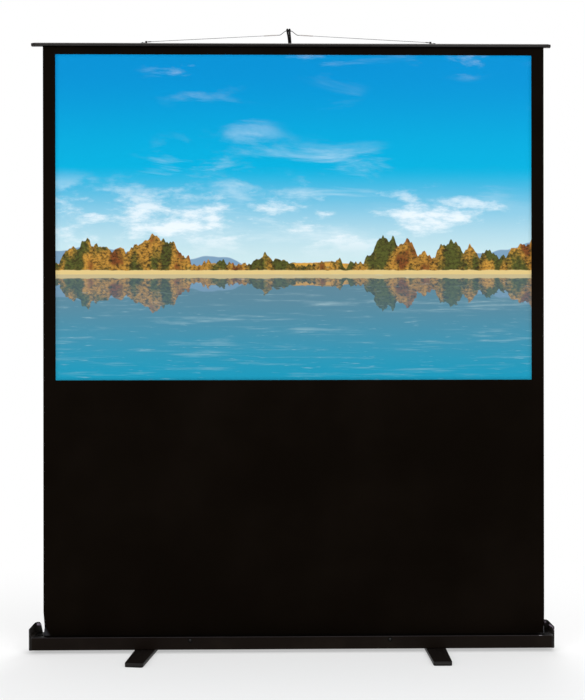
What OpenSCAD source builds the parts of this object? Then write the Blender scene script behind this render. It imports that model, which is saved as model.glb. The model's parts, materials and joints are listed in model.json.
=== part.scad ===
// Pull-up projection screen: a floor casing on swivel feet, a spring roller, a top bar that
// draws the fabric up, and a folding telescopic pole behind it that carries the bar by a wire.
// The front faces -Y, the floor is at z = 0, and the origin is on the floor under the middle.

/* [Screen] */
// Width of the white viewing surface
view_w = 1800; // [1200:10:2200]
// Height of the white viewing surface
view_h = 1229; // [700:1:1300]
// Black border at each side of the viewing surface
side_border = 47; // [25:1:60]
// Black border between the top bar and the viewing surface
top_border = 30; // [15:1:60]
// Black drop between the viewing surface and the casing
drop_h = 960; // [700:1:1100]
// Thickness of the fabric
fabric_t = 0.3; // [0.25:0.05:0.35]
// Thickness of the white layer on the fabric's front
coat_t = 0.1; // [0.1:0.05:0.2]
// How far the fabric's middle lies to the right of the casing's middle
fabric_x = 8.5; // [-12:0.5:12]

/* [Casing] */
// Space along the casing for the spring head and the idle pin, beyond the fabric
casing_spare = 48; // [44:1:80]
// Depth of the casing in front of the fabric
casing_front = 45; // [42:1:60]
// Depth of the casing behind the fabric
casing_rear = 42; // [38:1:60]
// Height of the casing, up to its slot
casing_h = 45; // [45:1:60]
// Height of the lip along the casing's front top edge
lip_h = 3; // [2:0.5:5]
// Thickness of the lip
lip_t = 2.6; // [2:0.1:4]
// Wall of the casing
wall = 1.6; // [1.4:0.1:1.8]
// Rounding of the casing's long edges
edge_r = 4; // [3:0.5:6]
// Half width of the slot between its two beads
slot_half = 4.8; // [4.5:0.1:6]
// Radius of the bead along each side of the slot
bead_r = 1.5; // [1.2:0.1:1.8]
// Radius of the channels that take the end screws
channel_r = 3.4; // [3:0.1:4]
// Distance of the screw channels from the casing's outer faces
channel_inset = 5; // [5:0.5:7]

/* [End caps] */
// Thickness of a cap at its front and rear corners
cap_corner_t = 9; // [8:0.5:14]
// How much further a cap bulges at the middle of its depth
cap_bulge = 10; // [6:1:16]
// Wall of the ear that guides the bar's end
ear_wall = 4; // [3:0.5:5]
// Thickness of the ear's rear wall
ear_rear_t = 6; // [4:0.5:8]
// Height of the ear's rear wall above the slot
ear_rear_h = 38; // [28:1:42]
// Rounding of the ear seen from the front
ear_round = 20; // [16:1:22]
// Rounding of the ear's front edge seen from the side
ear_front_r = 29; // [20:1:30]
// Length of the ear's rear wall over the casing
ear_overhang = 21; // [12:1:30]

/* [Roller] */
// Radius of the roller tube
tube_r = 12.5; // [12:0.5:13]
// Wall of the roller tube
tube_wall = 1; // [0.8:0.1:1.2]
// Turns of fabric that stay on the roller when the screen is up
turns_left = 3; // [2:1:3]
// Radius of the fixed spring shaft
shaft_r = 4.5; // [4:0.1:5]
// Thickness of the flat on the shaft's end
tang_t = 5; // [4:0.5:6]
// Length of the torsion spring
spring_l = 360; // [200:10:500]
// Thickness of the spring's wire
spring_wire = 1.6; // [1.2:0.1:2]
// Radius of the idle pin
idle_pin_r = 4; // [3.5:0.1:5]
// Outer radius of the idle bush
idle_bush_r = 7; // [6:0.1:8]
// Thickness of the two roller brackets
bracket_t = 2.5; // [2:0.1:3]
// Length of each roller saddle
saddle_l = 20; // [14:1:30]

/* [Top bar] */
// Height of the top bar
rail_h = 13; // [12:0.5:15]
// Depth of the top bar
rail_d = 14; // [13:0.5:14]
// Length of the bar's tips beyond the rail
tip_l = 15; // [10:1:20]
// Gap between the bar's ends and the ears when the screen is closed
ear_gap = 5; // [3:0.5:8]
// Radius of the rod that holds the fabric in the bar
hem_r = 2.2; // [1.8:0.1:2.4]

/* [Hanger] */
// Distance between the two cable anchors
anchor_spread = 1090; // [800:2:1300]
// Height of the wire's middle above the bar
wire_rise = 53; // [46:1:60]
// Radius of the bow's wire
bow_r = 1.25; // [1:0.05:1.4]
// Half width of the bow
bow_half = 32; // [30:1:45]
// Height of the bow
bow_h = 17; // [14:1:24]
// Length of the bow's flat middle
bow_flat = 22; // [14:1:24]
// Radius of the cables
cable_r = 0.9; // [0.7:0.1:1.1]
// Length of the sleeves next to the bow
sleeve_l = 50; // [30:1:70]
// Radius of the sleeves
sleeve_r = 1.9; // [1.6:0.1:2.2]

/* [Feet] */
// Distance between the two foot bolts
foot_spread = 1084; // [800:2:1300]
// How far their middle lies to the right of the casing's middle
foot_mid_x = -4.5; // [-20:0.5:20]
// Length of a foot
foot_l = 396; // [300:2:500]
// Width of a foot at its middle
foot_w = 76; // [60:1:80]
// Width of a foot at its tips
foot_tip_w = 67; // [50:1:70]
// Height of the casing's underside over the floor
floor_gap = 15; // [13:0.5:18]
// Bevel along the top of a foot's tips
foot_bevel = 7; // [4:0.5:8]
// How far the rubber pads stand under a foot
pad_proud = 1.5; // [1:0.1:2.5]
// Radius of the foot bolts
foot_bolt_r = 4; // [3:0.1:5]
// Thickness of the threaded plates inside the casing
foot_plate_t = 2; // [1.6:0.1:2]
// How far the left foot stands turned away from square, in degrees
foot_left_turn = 7; // [0:0.5:9]

/* [Pole] */
// How far the pole stands to the right of the casing's middle
pole_x = -3; // [-20:1:20]
// Height of the pole's hinge above the floor
hinge_z = 80; // [79:1:90]
// Outer radius of the lower tube
lower_r = 11; // [10:0.1:12]
// Wall of the three tubes
pole_wall = 1.2; // [1:0.1:1.4]
// Free space between one tube and the next
tube_step = 0.4; // [0.3:0.1:0.6]
// How far each section telescopes
pole_travel = 665; // [400:5:668]
// How far one section stays inside the next
overlap_l = 64; // [50:1:90]
// Outer radius of the clamp collars
collar_r = 15; // [14:0.5:15]
// Height of the clamp collars
collar_h = 36; // [30:1:40]
// Radius of the pole's hinge bolt
hinge_bolt_r = 4; // [3:0.1:5]
// Radius of the lever pins
lever_pin_r = 2; // [1.5:0.1:2.4]
// Length of the clamp levers
lever_l = 44; // [36:1:60]
// Thickness of the hinge bracket
plate_t = 3; // [2.5:0.1:3.5]
// How far the storage clip lies from the pole's hinge
clip_x = 627; // [500:1:660]

/* [Hook] */
// Radius of the two rods of the hook
rod_r = 2.7; // [2.3:0.1:2.8]
// Distance between the two rods where they leave the pole
rod_pitch = 6.6; // [6.2:0.1:7]
// Distance between the two rods at the wire
tip_pitch = 8.4; // [7:0.1:10]
// Length of the hook from the pole to the wire
hook_l = 68; // [60:1:70]
// Height of the hook's tips over the wire
tip_rise = 7; // [5:0.5:9]
// Lean of the hook to the left, in degrees
hook_lean = 7.5; // [0:0.5:12]
// How far behind the fabric the wire's middle lies
wire_y = 14.5; // [14:0.5:16]

/* [Screws] */
// Distance between the two front screws
front_screw_spread = 747; // [400:1:900]
// How far their middle lies to the right of the casing's middle
front_screw_x = -9; // [-20:1:20]
// Distance of the front screws from the casing's underside
front_screw_h = 36; // [33:0.5:38]
// Radius of the front screws' domed heads
dome_r = 5; // [4:0.1:6]
// Radius of the screws' shanks
screw_r = 1.7; // [1.5:0.1:2]
// Radius of the screws' heads
screw_head_r = 3.5; // [3:0.1:4]
// Height of the screws' heads
screw_head_h = 2.2; // [1.8:0.1:2.6]

/* [Clearances] */
// Play of a turning or sliding fit, on the radius
running = 0.05; // [0.03:0.01:0.08]
// Play of a fit that stays put, on the radius
seated = 0.02; // [0.01:0.01:0.05]
// Play of a screw in the hole that it passes through
passing = 0.3; // [0.2:0.05:0.5]
// Space between moving pieces that only pass each other
free_gap = 0.3; // [0.2:0.05:0.5]

/* [Hidden] */
$fn = 48;

satin_black = [0.09, 0.085, 0.08];
soft_black = [0.06, 0.05, 0.045];
zinc = [0.72, 0.73, 0.75];

// Places along the height
casing_z = floor_gap;
slot_z = casing_z + casing_h;
lip_z = slot_z + lip_h;
bar_z = slot_z + drop_h + view_h + top_border;
bar_top = bar_z + rail_h;

// Fabric and casing along X
fabric_w = view_w + 2 * side_border;
fabric_left = fabric_x - fabric_w / 2;
fabric_right = fabric_x + fabric_w / 2;
casing_l = fabric_w + casing_spare;
casing_end = casing_l / 2;

// End caps
cap_end = casing_end + cap_corner_t + cap_bulge;
casing_depth = casing_front + casing_rear;
casing_mid_y = (casing_rear - casing_front) / 2;
cap_r = (pow(casing_depth / 2, 2) + pow(cap_bulge, 2)) / (2 * cap_bulge);
ear_top = slot_z + ear_rear_h;

// Top bar
bar_end = cap_end - ear_wall - ear_gap;
rail_end = bar_end - tip_l;
rail_r = rail_d / 2;
hem_z = bar_z + rail_h / 2 - 0.5;
hem_play = 1;
groove_half = 1;
rail_flat = 0.5;
rail_corner = 1.5;
tip_plug_l = 8;

// Roller, behind whose rear side the fabric rises
turns_r = tube_r + turns_left * fabric_t;
roller_y = -(fabric_t / 2 + free_gap + turns_r);
roller_z = casing_z + casing_h / 2;
full_roll_r = sqrt(pow(turns_r, 2) + fabric_t * (bar_z - slot_z) / PI);
roller_in_r = tube_r - tube_wall;
end_play = 3;
plug_l = 16;
flange_t = 2;
spring_end_x = fabric_left - end_play;
idle_end_x = fabric_right + end_play;
shaft_far_x = spring_end_x + plug_l + spring_l + plug_l;
tang_l = 12;
spline_r = 1.5;
spline_wall = 0.7;
spline_gap = 1.2;
spline_at = tube_r - spline_r - 0.2;
spring_r = spline_at - spline_r - spline_wall - free_gap;
bush_lip = 1.5;
cap_pocket = bracket_t + 0.5;
pin_pocket_r = 12;
pin_pocket = 7;

// Screws along X into the casing's channels, as [y, z]
channels = [
    [-casing_front + channel_inset, casing_z + channel_inset],
    [casing_rear - channel_inset, casing_z + channel_inset],
    [casing_rear - channel_inset, slot_z - channel_inset]
];
end_screw_l = 24;
cap_screw_head_x = casing_end + cap_corner_t - 3;

// Feet
foot_z0 = pad_proud;
foot_z1 = casing_z - free_gap;
washer_r = 14;
washer_t = 1;
foot_xs = [foot_mid_x - foot_spread / 2, foot_mid_x + foot_spread / 2];
front_screw_xs = [front_screw_x - front_screw_spread / 2, front_screw_x + front_screw_spread / 2];
foot_plate_front = 6;
foot_plate_w = 60;
foot_plate_d = 36;
bolt_head_r = 8;
bolt_head_h = 4;
pad_l = 30;
pad_margin = 8;
pad_depth = 2.5;

// Pole, standing up
collar_gap = 1.5;
pole_y = casing_rear + collar_r + collar_gap;
lower_in_r = lower_r - pole_wall;
middle_r = lower_in_r - tube_step;
middle_in_r = middle_r - pole_wall;
top_r = middle_in_r - tube_step;
top_in_r = top_r - pole_wall;
shoulder_h = 12;
knuckle_plug_l = 22;
lower_z0 = hinge_z + shoulder_h;
stack_gap = 3;
ear_block_h = 16;
lever_stack = max(stack_gap, lever_l + ear_block_h / 2 + 1 - collar_h);
collar_grip = 26;
collar_top = collar_h - collar_grip;
bush_flange = 6;
bush_l = 20;
lower_z1 = lower_z0 + knuckle_plug_l + bush_flange + stack_gap + pole_travel + overlap_l;
middle_z0 = lower_z1 - overlap_l;
middle_z1 = lower_z1 + collar_top + lever_stack + collar_grip + pole_travel;
top_z0 = middle_z1 - overlap_l;
wire_z = bar_top + wire_rise;
plug_flange_h = 8;
hook_base_z = wire_z - hook_l * cos(hook_lean);
top_z1 = hook_base_z - plug_flange_h;
lever_gap = 0.4;
ear_reach = 18;
ear_half = 9;
lever_half = 4;
lever_eye_r = 5;
lever_pin_dz = collar_h / 2;

// Hook and hanger: the hook's two bends wrap the wire with a little play
bend_r = bow_r + free_gap + rod_r;
hook_x = pole_x - sin(hook_lean) * hook_l;
bow_z = wire_z;
tail_l = 10;
tail_y = wire_y;
sleeve_start = bow_half + tail_l;
anchor_xs = [hook_x - anchor_spread / 2, hook_x + anchor_spread / 2];
anchor_l = 24;
anchor_w = 5;
anchor_t = 1.6;
anchor_h = 8;
anchor_screw_xs = [anchor_xs[0] - anchor_l / 2 + 6, anchor_xs[1] + anchor_l / 2 - 6];
lug_l = 8;
lug_t = 2.4;
ferrule_l = 12;
ferrule_r = 1.7;

// Extrudes a drawing in Y and Z along X, from x0 to x1
module along_x(x0, x1) {
    translate([x0, 0, 0]) rotate([90, 0, 90]) linear_extrude(x1 - x0) children();
}

// A rectangle with round corners, from [u0, v0] to [u1, v1]
module round_rect(u0, v0, u1, v1, r) {
    translate([u0 + r, v0]) square([u1 - u0 - 2 * r, v1 - v0]);
    translate([u0, v0 + r]) square([u1 - u0, v1 - v0 - 2 * r]);
    for (u = [u0 + r, u1 - r], v = [v0 + r, v1 - r]) translate([u, v]) circle(r);
}

// A rod or a bore along X
module rod_x(x0, x1, y, z, r) {
    translate([x0, y, z]) rotate([0, 90, 0]) cylinder(r = r, h = x1 - x0);
}

// A rod or a bore along Y
module rod_y(x, y0, y1, z, r) {
    translate([x, y0, z]) rotate([-90, 0, 0]) cylinder(r = r, h = y1 - y0);
}

// A rod or a bore along Z
module rod_z(x, y, z0, z1, r) {
    translate([x, y, z0]) cylinder(r = r, h = z1 - z0);
}

// A rod or a bore from one point to another
module rod_between(a, b, r) {
    d = b - a;
    translate(a) rotate([0, acos(d[2] / norm(d)), atan2(d[1], d[0])]) cylinder(r = r, h = norm(d));
}

// A pan-headed screw whose head starts at z = 0 and whose shank goes down
module pan_screw(shank_r, shank_l, head_r, head_h) {
    translate([0, 0, -shank_l]) cylinder(r = shank_r, h = shank_l + head_h / 2);
    difference() {
        cylinder(r = head_r, h = head_h);
        translate([0, 0, head_h - 0.9]) cross_slot(head_r * 0.9, 0.8, 1);
    }
}

// The cross in a screw's head
module cross_slot(l, w, h) {
    for (a = [0, 90]) rotate(a) translate([-l / 2, -w / 2, 0]) cube([l, w, h]);
}

// A round cord swept along its points, as one skin; no stretch of it runs along the side
module cord_tube(points, r, sides, side) {
    rings = len(points);
    verts = [
        for (i = [0:rings - 1])
            let (
                t = unit(points[max(i, 1)] - points[max(i, 1) - 1])
                    + unit(points[min(i + 1, rings - 1)] - points[min(i, rings - 2)]),
                u = unit(cross(t, side)),
                v = cross(u, t) / norm(t)
            )
            for (k = [0:sides - 1]) points[i] + r * (cos(360 * k / sides) * u + sin(360 * k / sides) * v)
    ];
    skin = [
        for (i = [0:rings - 2], k = [0:sides - 1])
            let (n = (k + 1) % sides)
            each [
                [i * sides + k, i * sides + n, (i + 1) * sides + n],
                [i * sides + k, (i + 1) * sides + n, (i + 1) * sides + k]
            ]
    ];
    ends = [
        for (k = [1:sides - 2])
            let (e = (rings - 1) * sides)
            each [[0, k + 1, k], [e, e + k, e + k + 1]]
    ];
    polyhedron(verts, concat(skin, ends));
}

function unit(v) = v / norm(v);

// A path whose inner corners are eased, each from a cut's length before it to the same after it
function eased(points, cut) =
    [
        points[0],
        for (i = [1:len(points) - 2])
            let (
                a = points[i] + cut * unit(points[i - 1] - points[i]),
                b = points[i] + cut * unit(points[i + 1] - points[i])
            )
            each [for (t = [0:0.25:1]) (1 - t) * (1 - t) * a + 2 * t * (1 - t) * points[i] + t * t * b],
        points[len(points) - 1]
    ];

// The casing's outer outline in Y and Z
module casing_outline() {
    round_rect(-casing_front, casing_z, casing_rear, slot_z, edge_r);
    round_rect(-casing_front, slot_z - 2 * edge_r, -casing_front + lip_t, lip_z, lip_t / 2 - 0.05);
}

// The casing's profile: a closed box with a beaded slot and three screw channels
module casing_profile() {
    difference() {
        union() {
            difference() {
                casing_outline();
                round_rect(
                    -casing_front + wall, casing_z + wall, casing_rear - wall, slot_z - wall, edge_r - wall
                );
            }
            for (c = channels) translate(c) circle(channel_r);
            intersection() {
                casing_outline();
                for (c = channels) translate([
                    c[0] < 0 ? c[0] - channel_inset : c[0],
                    c[1] < roller_z ? c[1] - channel_inset : c[1]
                ]) square(channel_inset);
            }
            for (s = [-1, 1]) translate([s * (slot_half + bead_r), slot_z - bead_r]) circle(bead_r);
        }
        for (c = channels) translate(c) circle(screw_r + running);
        translate([-slot_half - bead_r, slot_z - wall - bead_r]) {
            difference() {
                square([2 * (slot_half + bead_r), wall + bead_r + 1]);
                translate([0, wall]) circle(bead_r);
                translate([2 * (slot_half + bead_r), wall]) circle(bead_r);
            }
        }
    }
}

module casing_shell() {
    color(satin_black) difference() {
        along_x(-casing_end, casing_end) casing_profile();
        for (x = front_screw_xs)
            rod_y(x, -casing_front - 1, -casing_front + lip_t + 1, casing_z + front_screw_h, screw_r + passing);
        for (x = foot_xs) rod_z(x, 0, casing_z - 1, casing_z + wall + 1, foot_bolt_r + passing);
        for (p = bracket_holes) rod_y(p[0], casing_rear - 2 * wall, casing_rear + 1, p[1], screw_r + running);
        for (p = clip_holes) rod_y(p[0], casing_rear - 2 * wall, casing_rear + 1, p[1], screw_r + running);
    }
}

// The form of the right cap before it is hollowed: three outlines, one for each direction
module cap_form() {
    intersection() {
        translate([cap_end - cap_r, casing_mid_y, 0]) cylinder(r = cap_r, h = 2 * ear_top, $fn = 180);
        along_x(casing_end - ear_overhang, cap_end + 1) cap_side();
        translate([0, casing_rear + 1, 0]) rotate([90, 0, 0]) linear_extrude(casing_depth + 2) cap_front();
    }
}

// The cap's outline seen from the side
module cap_side() {
    round_rect(-casing_front, casing_z, casing_rear, lip_z, 2);
    translate([-casing_front + ear_front_r, lip_z]) intersection() {
        circle(ear_front_r);
        translate([-ear_front_r, -1]) square([ear_front_r, ear_front_r + 1]);
    }
    translate([-casing_front + ear_front_r, lip_z - 10])
        square([casing_depth - ear_front_r, ear_top - lip_z + 10]);
}

// The cap's outline seen from the front
module cap_front() {
    difference() {
        union() {
            translate([casing_end - ear_overhang, casing_z])
                square([cap_end - ear_round - casing_end + ear_overhang, ear_top - casing_z]);
            translate([cap_end - ear_round - 1, casing_z])
                square([ear_round + 1, ear_top - ear_round - casing_z]);
            translate([cap_end - ear_round, ear_top - ear_round]) circle(ear_round);
        }
        translate([casing_end - ear_overhang, slot_z - 1]) polygon([
            [-1, 0], [0, 0], [7, ear_rear_h - 6], [13, ear_rear_h + 2], [-1, ear_rear_h + 2]
        ]);
    }
}

// The right end cap, with its ear above the casing
module end_cap() {
    difference() {
        cap_form();
        // room for the casing itself
        translate([casing_end - ear_overhang - 1, -casing_front - 1, casing_z - 1])
            cube([ear_overhang + 1, casing_depth + 2, casing_h + 1 + free_gap]);
        // the cradle for the bar's end, open upwards, to the front and inwards
        intersection() {
            translate([cap_end - cap_r, casing_mid_y, slot_z])
                cylinder(r = cap_r - ear_wall, h = 2 * ear_top, $fn = 180);
            translate([casing_end - ear_overhang - 1, -casing_front - 1, slot_z])
                cube([ear_overhang + cap_corner_t + cap_bulge + 2, casing_depth + 1 - ear_rear_t, ear_top]);
        }
        along_x(casing_end - 1, casing_end + cap_pocket) bracket_outline(0.2);
        rod_x(casing_end, casing_end + pin_pocket, roller_y, roller_z, pin_pocket_r);
        for (c = channels) {
            rod_x(casing_end - 1, cap_end, c[0], c[1], screw_r + passing);
            rod_x(cap_screw_head_x, cap_end + 1, c[0], c[1], screw_head_r + passing);
        }
    }
}

module end_cap_right() {
    color(satin_black) end_cap();
}

module end_cap_left() {
    color(satin_black) mirror([1, 0, 0]) end_cap();
}

module end_cap_screws() {
    color(zinc) for (s = [0, 1]) mirror([s, 0, 0]) for (c = channels)
        translate([cap_screw_head_x, c[0], c[1]]) rotate([0, 90, 0])
            pan_screw(screw_r, end_screw_l, screw_head_r, screw_head_h);
}

// The outline of the two roller brackets, which sit inside the caps
module bracket_outline(grow) {
    inset = 2.5 - grow;
    round_rect(-casing_front + inset, casing_z + inset, casing_rear - inset, slot_z - inset, 3);
}

module roller_bracket() {
    difference() {
        along_x(casing_end, casing_end + bracket_t) bracket_outline(0);
        for (c = channels) rod_x(casing_end - 1, casing_end + bracket_t + 1, c[0], c[1], screw_r + passing);
        children();
    }
}

module idle_bracket() {
    color(zinc) roller_bracket()
        rod_x(casing_end - 1, casing_end + bracket_t + 1, roller_y, roller_z, idle_bush_r + seated);
}

module spring_bracket() {
    color(zinc) mirror([1, 0, 0]) roller_bracket()
        translate([casing_end - 1, roller_y - shaft_r - 0.1, roller_z - tang_t / 2 - 0.1])
            cube([bracket_t + 2, 2 * shaft_r + 0.2, tang_t + 0.2]);
}

module idle_bush() {
    color([0.85, 0.84, 0.8]) difference() {
        union() {
            rod_x(casing_end, casing_end + bracket_t, roller_y, roller_z, idle_bush_r);
            rod_x(casing_end - bush_lip, casing_end, roller_y, roller_z, idle_bush_r + 2);
        }
        rod_x(casing_end - 2, casing_end + bracket_t + 1, roller_y, roller_z, idle_pin_r + running);
    }
}

// The fixed shaft, held from turning by its flat end
module spring_shaft() {
    tang_x = -casing_end - bracket_t - 1.5;
    color(zinc) {
        rod_x(tang_x + tang_l, shaft_far_x, roller_y, roller_z, shaft_r);
        intersection() {
            rod_x(tang_x, tang_x + tang_l, roller_y, roller_z, shaft_r);
            translate([tang_x, roller_y - shaft_r, roller_z - tang_t / 2]) cube([tang_l, 2 * shaft_r, tang_t]);
        }
    }
}

// The close-wound torsion spring around the shaft
module torsion_spring() {
    x0 = spring_end_x + plug_l + free_gap;
    color([0.4, 0.4, 0.42]) difference() {
        rod_x(x0, x0 + spring_l - 2 * free_gap, roller_y, roller_z, spring_r);
        rod_x(x0 - 1, x0 + spring_l, roller_y, roller_z, spring_r - spring_wire);
    }
}

// Two saddles behind the front screws, which keep a full roll from sagging
module roller_saddles() {
    color([0.2, 0.2, 0.2]) for (x = front_screw_xs) difference() {
        along_x(x - saddle_l / 2, x + saddle_l / 2) saddle_profile();
        rod_y(x, -casing_front, -casing_front + saddle_depth + 1, casing_z + front_screw_h, screw_r + running);
    }
}

saddle_depth = 20;
saddle_play = 0.6;
module saddle_profile() {
    y0 = -casing_front + wall;
    z0 = casing_z + wall;
    difference() {
        union() {
            translate([y0, z0 + edge_r]) square([saddle_depth, casing_h - 2 * wall - 2 * edge_r]);
            translate([y0 + edge_r + channel_inset, z0]) square([saddle_depth - edge_r, edge_r + 2]);
        }
        translate([roller_y, roller_z]) circle(full_roll_r + saddle_play);
        translate(channels[0]) circle(channel_r + free_gap);
    }
}

module front_screws() {
    color(satin_black) for (x = front_screw_xs)
        translate([x, -casing_front, casing_z + front_screw_h]) rotate([90, 0, 0]) dome_screw();
}

// A screw with a domed head
module dome_screw() {
    dome_h = 2.6;
    ball_r = (pow(dome_r, 2) + pow(dome_h, 2)) / (2 * dome_h);
    translate([0, 0, -7]) cylinder(r = screw_r, h = 8);
    intersection() {
        translate([0, 0, dome_h - ball_r]) sphere(ball_r, $fn = 96);
        cylinder(r = dome_r, h = dome_h);
    }
}

module foot_plates() {
    color(zinc) for (x = foot_xs) difference() {
        translate([x - foot_plate_w / 2, -foot_plate_front, casing_z + wall])
            cube([foot_plate_w, foot_plate_d, foot_plate_t]);
        rod_z(x, 0, casing_z, casing_z + wall + foot_plate_t + 1, foot_bolt_r + seated);
    }
}

module foot_bolts() {
    head_z = pad_proud + 1;
    color(zinc) for (x = foot_xs) {
        difference() {
            rod_z(x, 0, head_z, head_z + bolt_head_h, bolt_head_r);
            translate([x, 0, head_z - 1]) cylinder(r = 3, h = 3, $fn = 6);
        }
        rod_z(x, 0, head_z + bolt_head_h, casing_z + wall + foot_plate_t, foot_bolt_r);
    }
}

module foot_washers() {
    color([0.8, 0.8, 0.78]) for (x = foot_xs) difference() {
        rod_z(x, 0, casing_z - washer_t, casing_z, washer_r);
        rod_z(x, 0, casing_z - washer_t - 1, casing_z + 1, foot_bolt_r + running);
    }
}

// A foot: a tapered bar across the casing, bevelled at its tips
module foot_bar(x) {
    color(soft_black) difference() {
        intersection() {
            translate([x, 0, foot_z0]) linear_extrude(foot_z1 - foot_z0) polygon(foot_plan());
            along_x(x - foot_w, x + foot_w) polygon([
                [-foot_l / 2, foot_z0], [foot_l / 2, foot_z0], [foot_l / 2, foot_z1 - foot_bevel],
                [foot_l / 2 - foot_bevel, foot_z1], [-foot_l / 2 + foot_bevel, foot_z1],
                [-foot_l / 2, foot_z1 - foot_bevel]
            ]);
        }
        rod_z(x, 0, foot_z0 - 1, foot_z1 + 1, foot_bolt_r + running);
        rod_z(x, 0, foot_z0 - 1, foot_z0 + 1 + bolt_head_h + 0.2, bolt_head_r + 0.5);
        rod_z(x, 0, casing_z - washer_t - 0.1, casing_z, washer_r + 0.3);
        for (s = [-1, 1]) pad_block(x, s, foot_z0 - 1, foot_z0 + pad_depth, 0.05);
    }
}

// The foot's outline from above, with arcs at its tips
function foot_plan() =
    let (
        r = 8,
        steps = 6,
        tip = foot_tip_w / 2 - r,
        end = foot_l / 2 - r
    )
    [
        for (q = [0:3])
            let (sx = q == 0 || q == 3 ? 1 : -1, sy = q < 2 ? 1 : -1)
            each [
                for (k = [0:steps])
                    let (a = 90 * q + 90 * k / steps)
                    [sx * tip + r * cos(a), sy * end + r * sin(a)],
                if (q == 1) [-foot_w / 2, 0],
                if (q == 3) [foot_w / 2, 0]
            ]
    ];

module pad_block(x, s, z0, z1, grow) {
    w = foot_tip_w - 2 * pad_margin;
    translate([x - w / 2 - grow, s * (foot_l / 2 - pad_margin - pad_l / 2) - pad_l / 2 - grow, z0])
        cube([w + 2 * grow, pad_l + 2 * grow, z1 - z0]);
}

module foot_pads(x) {
    color([0.12, 0.12, 0.12]) for (s = [-1, 1]) pad_block(x, s, 0, foot_z0 + pad_depth, 0);
}

// Turns the left foot about its bolt
module left_turned() {
    translate([foot_xs[0], 0, 0]) rotate(-foot_left_turn) translate([-foot_xs[0], 0, 0]) children();
}

module foot_left_bar() {
    left_turned() foot_bar(foot_xs[0]);
}

module foot_left_pads() {
    left_turned() foot_pads(foot_xs[0]);
}

module foot_right_bar() {
    foot_bar(foot_xs[1]);
}

module foot_right_pads() {
    foot_pads(foot_xs[1]);
}

// The hinge bracket behind the casing: a tall plate with a fork for the pole's knuckle
fork_half = 14.5;
fork_in_z = hinge_z - lower_r - 3;
fork_top = hinge_z + 15;
fork_y0 = casing_rear + plate_t;
fork_y1 = 2 * pole_y - casing_rear - plate_t;
bracket_half = 24;
bracket_holes = [
    for (s = [-1, 1], z = [casing_z + 14, slot_z - 12]) [pole_x + s * 17, z]
];
module pole_bracket() {
    color(satin_black) difference() {
        union() {
            translate([pole_x - bracket_half, casing_rear, casing_z + 3])
                cube([2 * bracket_half, plate_t, fork_top - casing_z - 3]);
            translate([pole_x - fork_half, fork_y1, fork_in_z - plate_t])
                cube([2 * fork_half, plate_t, fork_top - fork_in_z + plate_t]);
            translate([pole_x - fork_half, casing_rear, fork_in_z - plate_t])
                cube([2 * fork_half, fork_y1 - casing_rear + 1, plate_t]);
            translate([pole_x + lower_r + free_gap, casing_rear, fork_in_z - plate_t])
                cube([plate_t, fork_y1 - casing_rear + 1, fork_top - fork_in_z + plate_t]);
        }
        rod_y(pole_x, casing_rear - 1, fork_y1 + plate_t + 1, hinge_z, hinge_bolt_r + seated);
        for (p = bracket_holes) rod_y(p[0], casing_rear - 1, fork_y0 + 1, p[1], screw_r + passing);
    }
}

module bracket_screws() {
    color(zinc) for (p = bracket_holes)
        translate([p[0], fork_y0, p[1]]) rotate([-90, 0, 0])
            pan_screw(screw_r, plate_t + wall + 4, screw_head_r, screw_head_h);
}

module pole_hinge_bolt() {
    color(zinc) {
        rod_y(pole_x, casing_rear - 8, fork_y1 + plate_t, hinge_z, hinge_bolt_r);
        difference() {
            rod_y(pole_x, fork_y1 + plate_t, fork_y1 + plate_t + 4, hinge_z, 7);
            translate([pole_x, fork_y1 + plate_t + 2, hinge_z]) rotate([-90, 0, 0])
                cylinder(r = 3, h = 3, $fn = 6);
        }
    }
}

module pole_hinge_nut() {
    color(zinc) difference() {
        translate([pole_x, casing_rear - 6.5, hinge_z]) rotate([-90, 0, 0]) cylinder(r = 7.5, h = 6.5, $fn = 6);
        rod_y(pole_x, casing_rear - 8, casing_rear + 1, hinge_z, hinge_bolt_r + seated);
    }
}

// The spring clip behind the casing that the folded pole snaps into
clip_l = 16;
clip_t = 2.6;
clip_at_x = pole_x - clip_x;
clip_holes = [[clip_at_x, casing_z + 14], [clip_at_x, slot_z - 12]];
module pole_clip() {
    grip_r = lower_r + free_gap;
    arm_z = hinge_z - grip_r - clip_t + 0.5;
    arm_h = 5.5;
    color(soft_black) difference() {
        along_x(clip_at_x - clip_l / 2, clip_at_x + clip_l / 2) difference() {
            union() {
                translate([casing_rear, casing_z + 4]) square([clip_t, arm_z + arm_h - casing_z - 4]);
                translate([pole_y, hinge_z]) circle(grip_r + clip_t);
                translate([casing_rear, arm_z]) square([pole_y - casing_rear, arm_h]);
            }
            translate([pole_y, hinge_z]) circle(grip_r);
            translate([casing_rear, hinge_z + grip_r * sin(18)]) square([60, 40]);
        }
        for (p = clip_holes) rod_y(p[0], casing_rear - 1, casing_rear + clip_t + 1, p[1], screw_r + passing);
    }
}

module clip_screws() {
    color(zinc) for (p = clip_holes)
        translate([p[0], casing_rear + clip_t, p[1]]) rotate([-90, 0, 0])
            pan_screw(screw_r, clip_t + wall + 4, screw_head_r, screw_head_h);
}

// The roller tube, with a channel inside for the fabric's spline
module roller_tube() {
    color([0.75, 0.76, 0.78]) along_x(spring_end_x, idle_end_x) translate([roller_y, roller_z]) difference() {
        union() {
            difference() {
                circle(tube_r);
                circle(roller_in_r);
            }
            translate([0, spline_at]) intersection() {
                circle(spline_r + spline_wall);
                translate([0, -spline_at]) circle(tube_r);
            }
        }
        translate([0, spline_at]) circle(spline_r + seated);
        translate([-spline_gap / 2, spline_at]) square([spline_gap, tube_r]);
    }
}

module fabric_spline() {
    color([0.15, 0.15, 0.15])
        rod_x(fabric_left, fabric_right, roller_y, roller_z + spline_at, spline_r);
}

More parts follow.
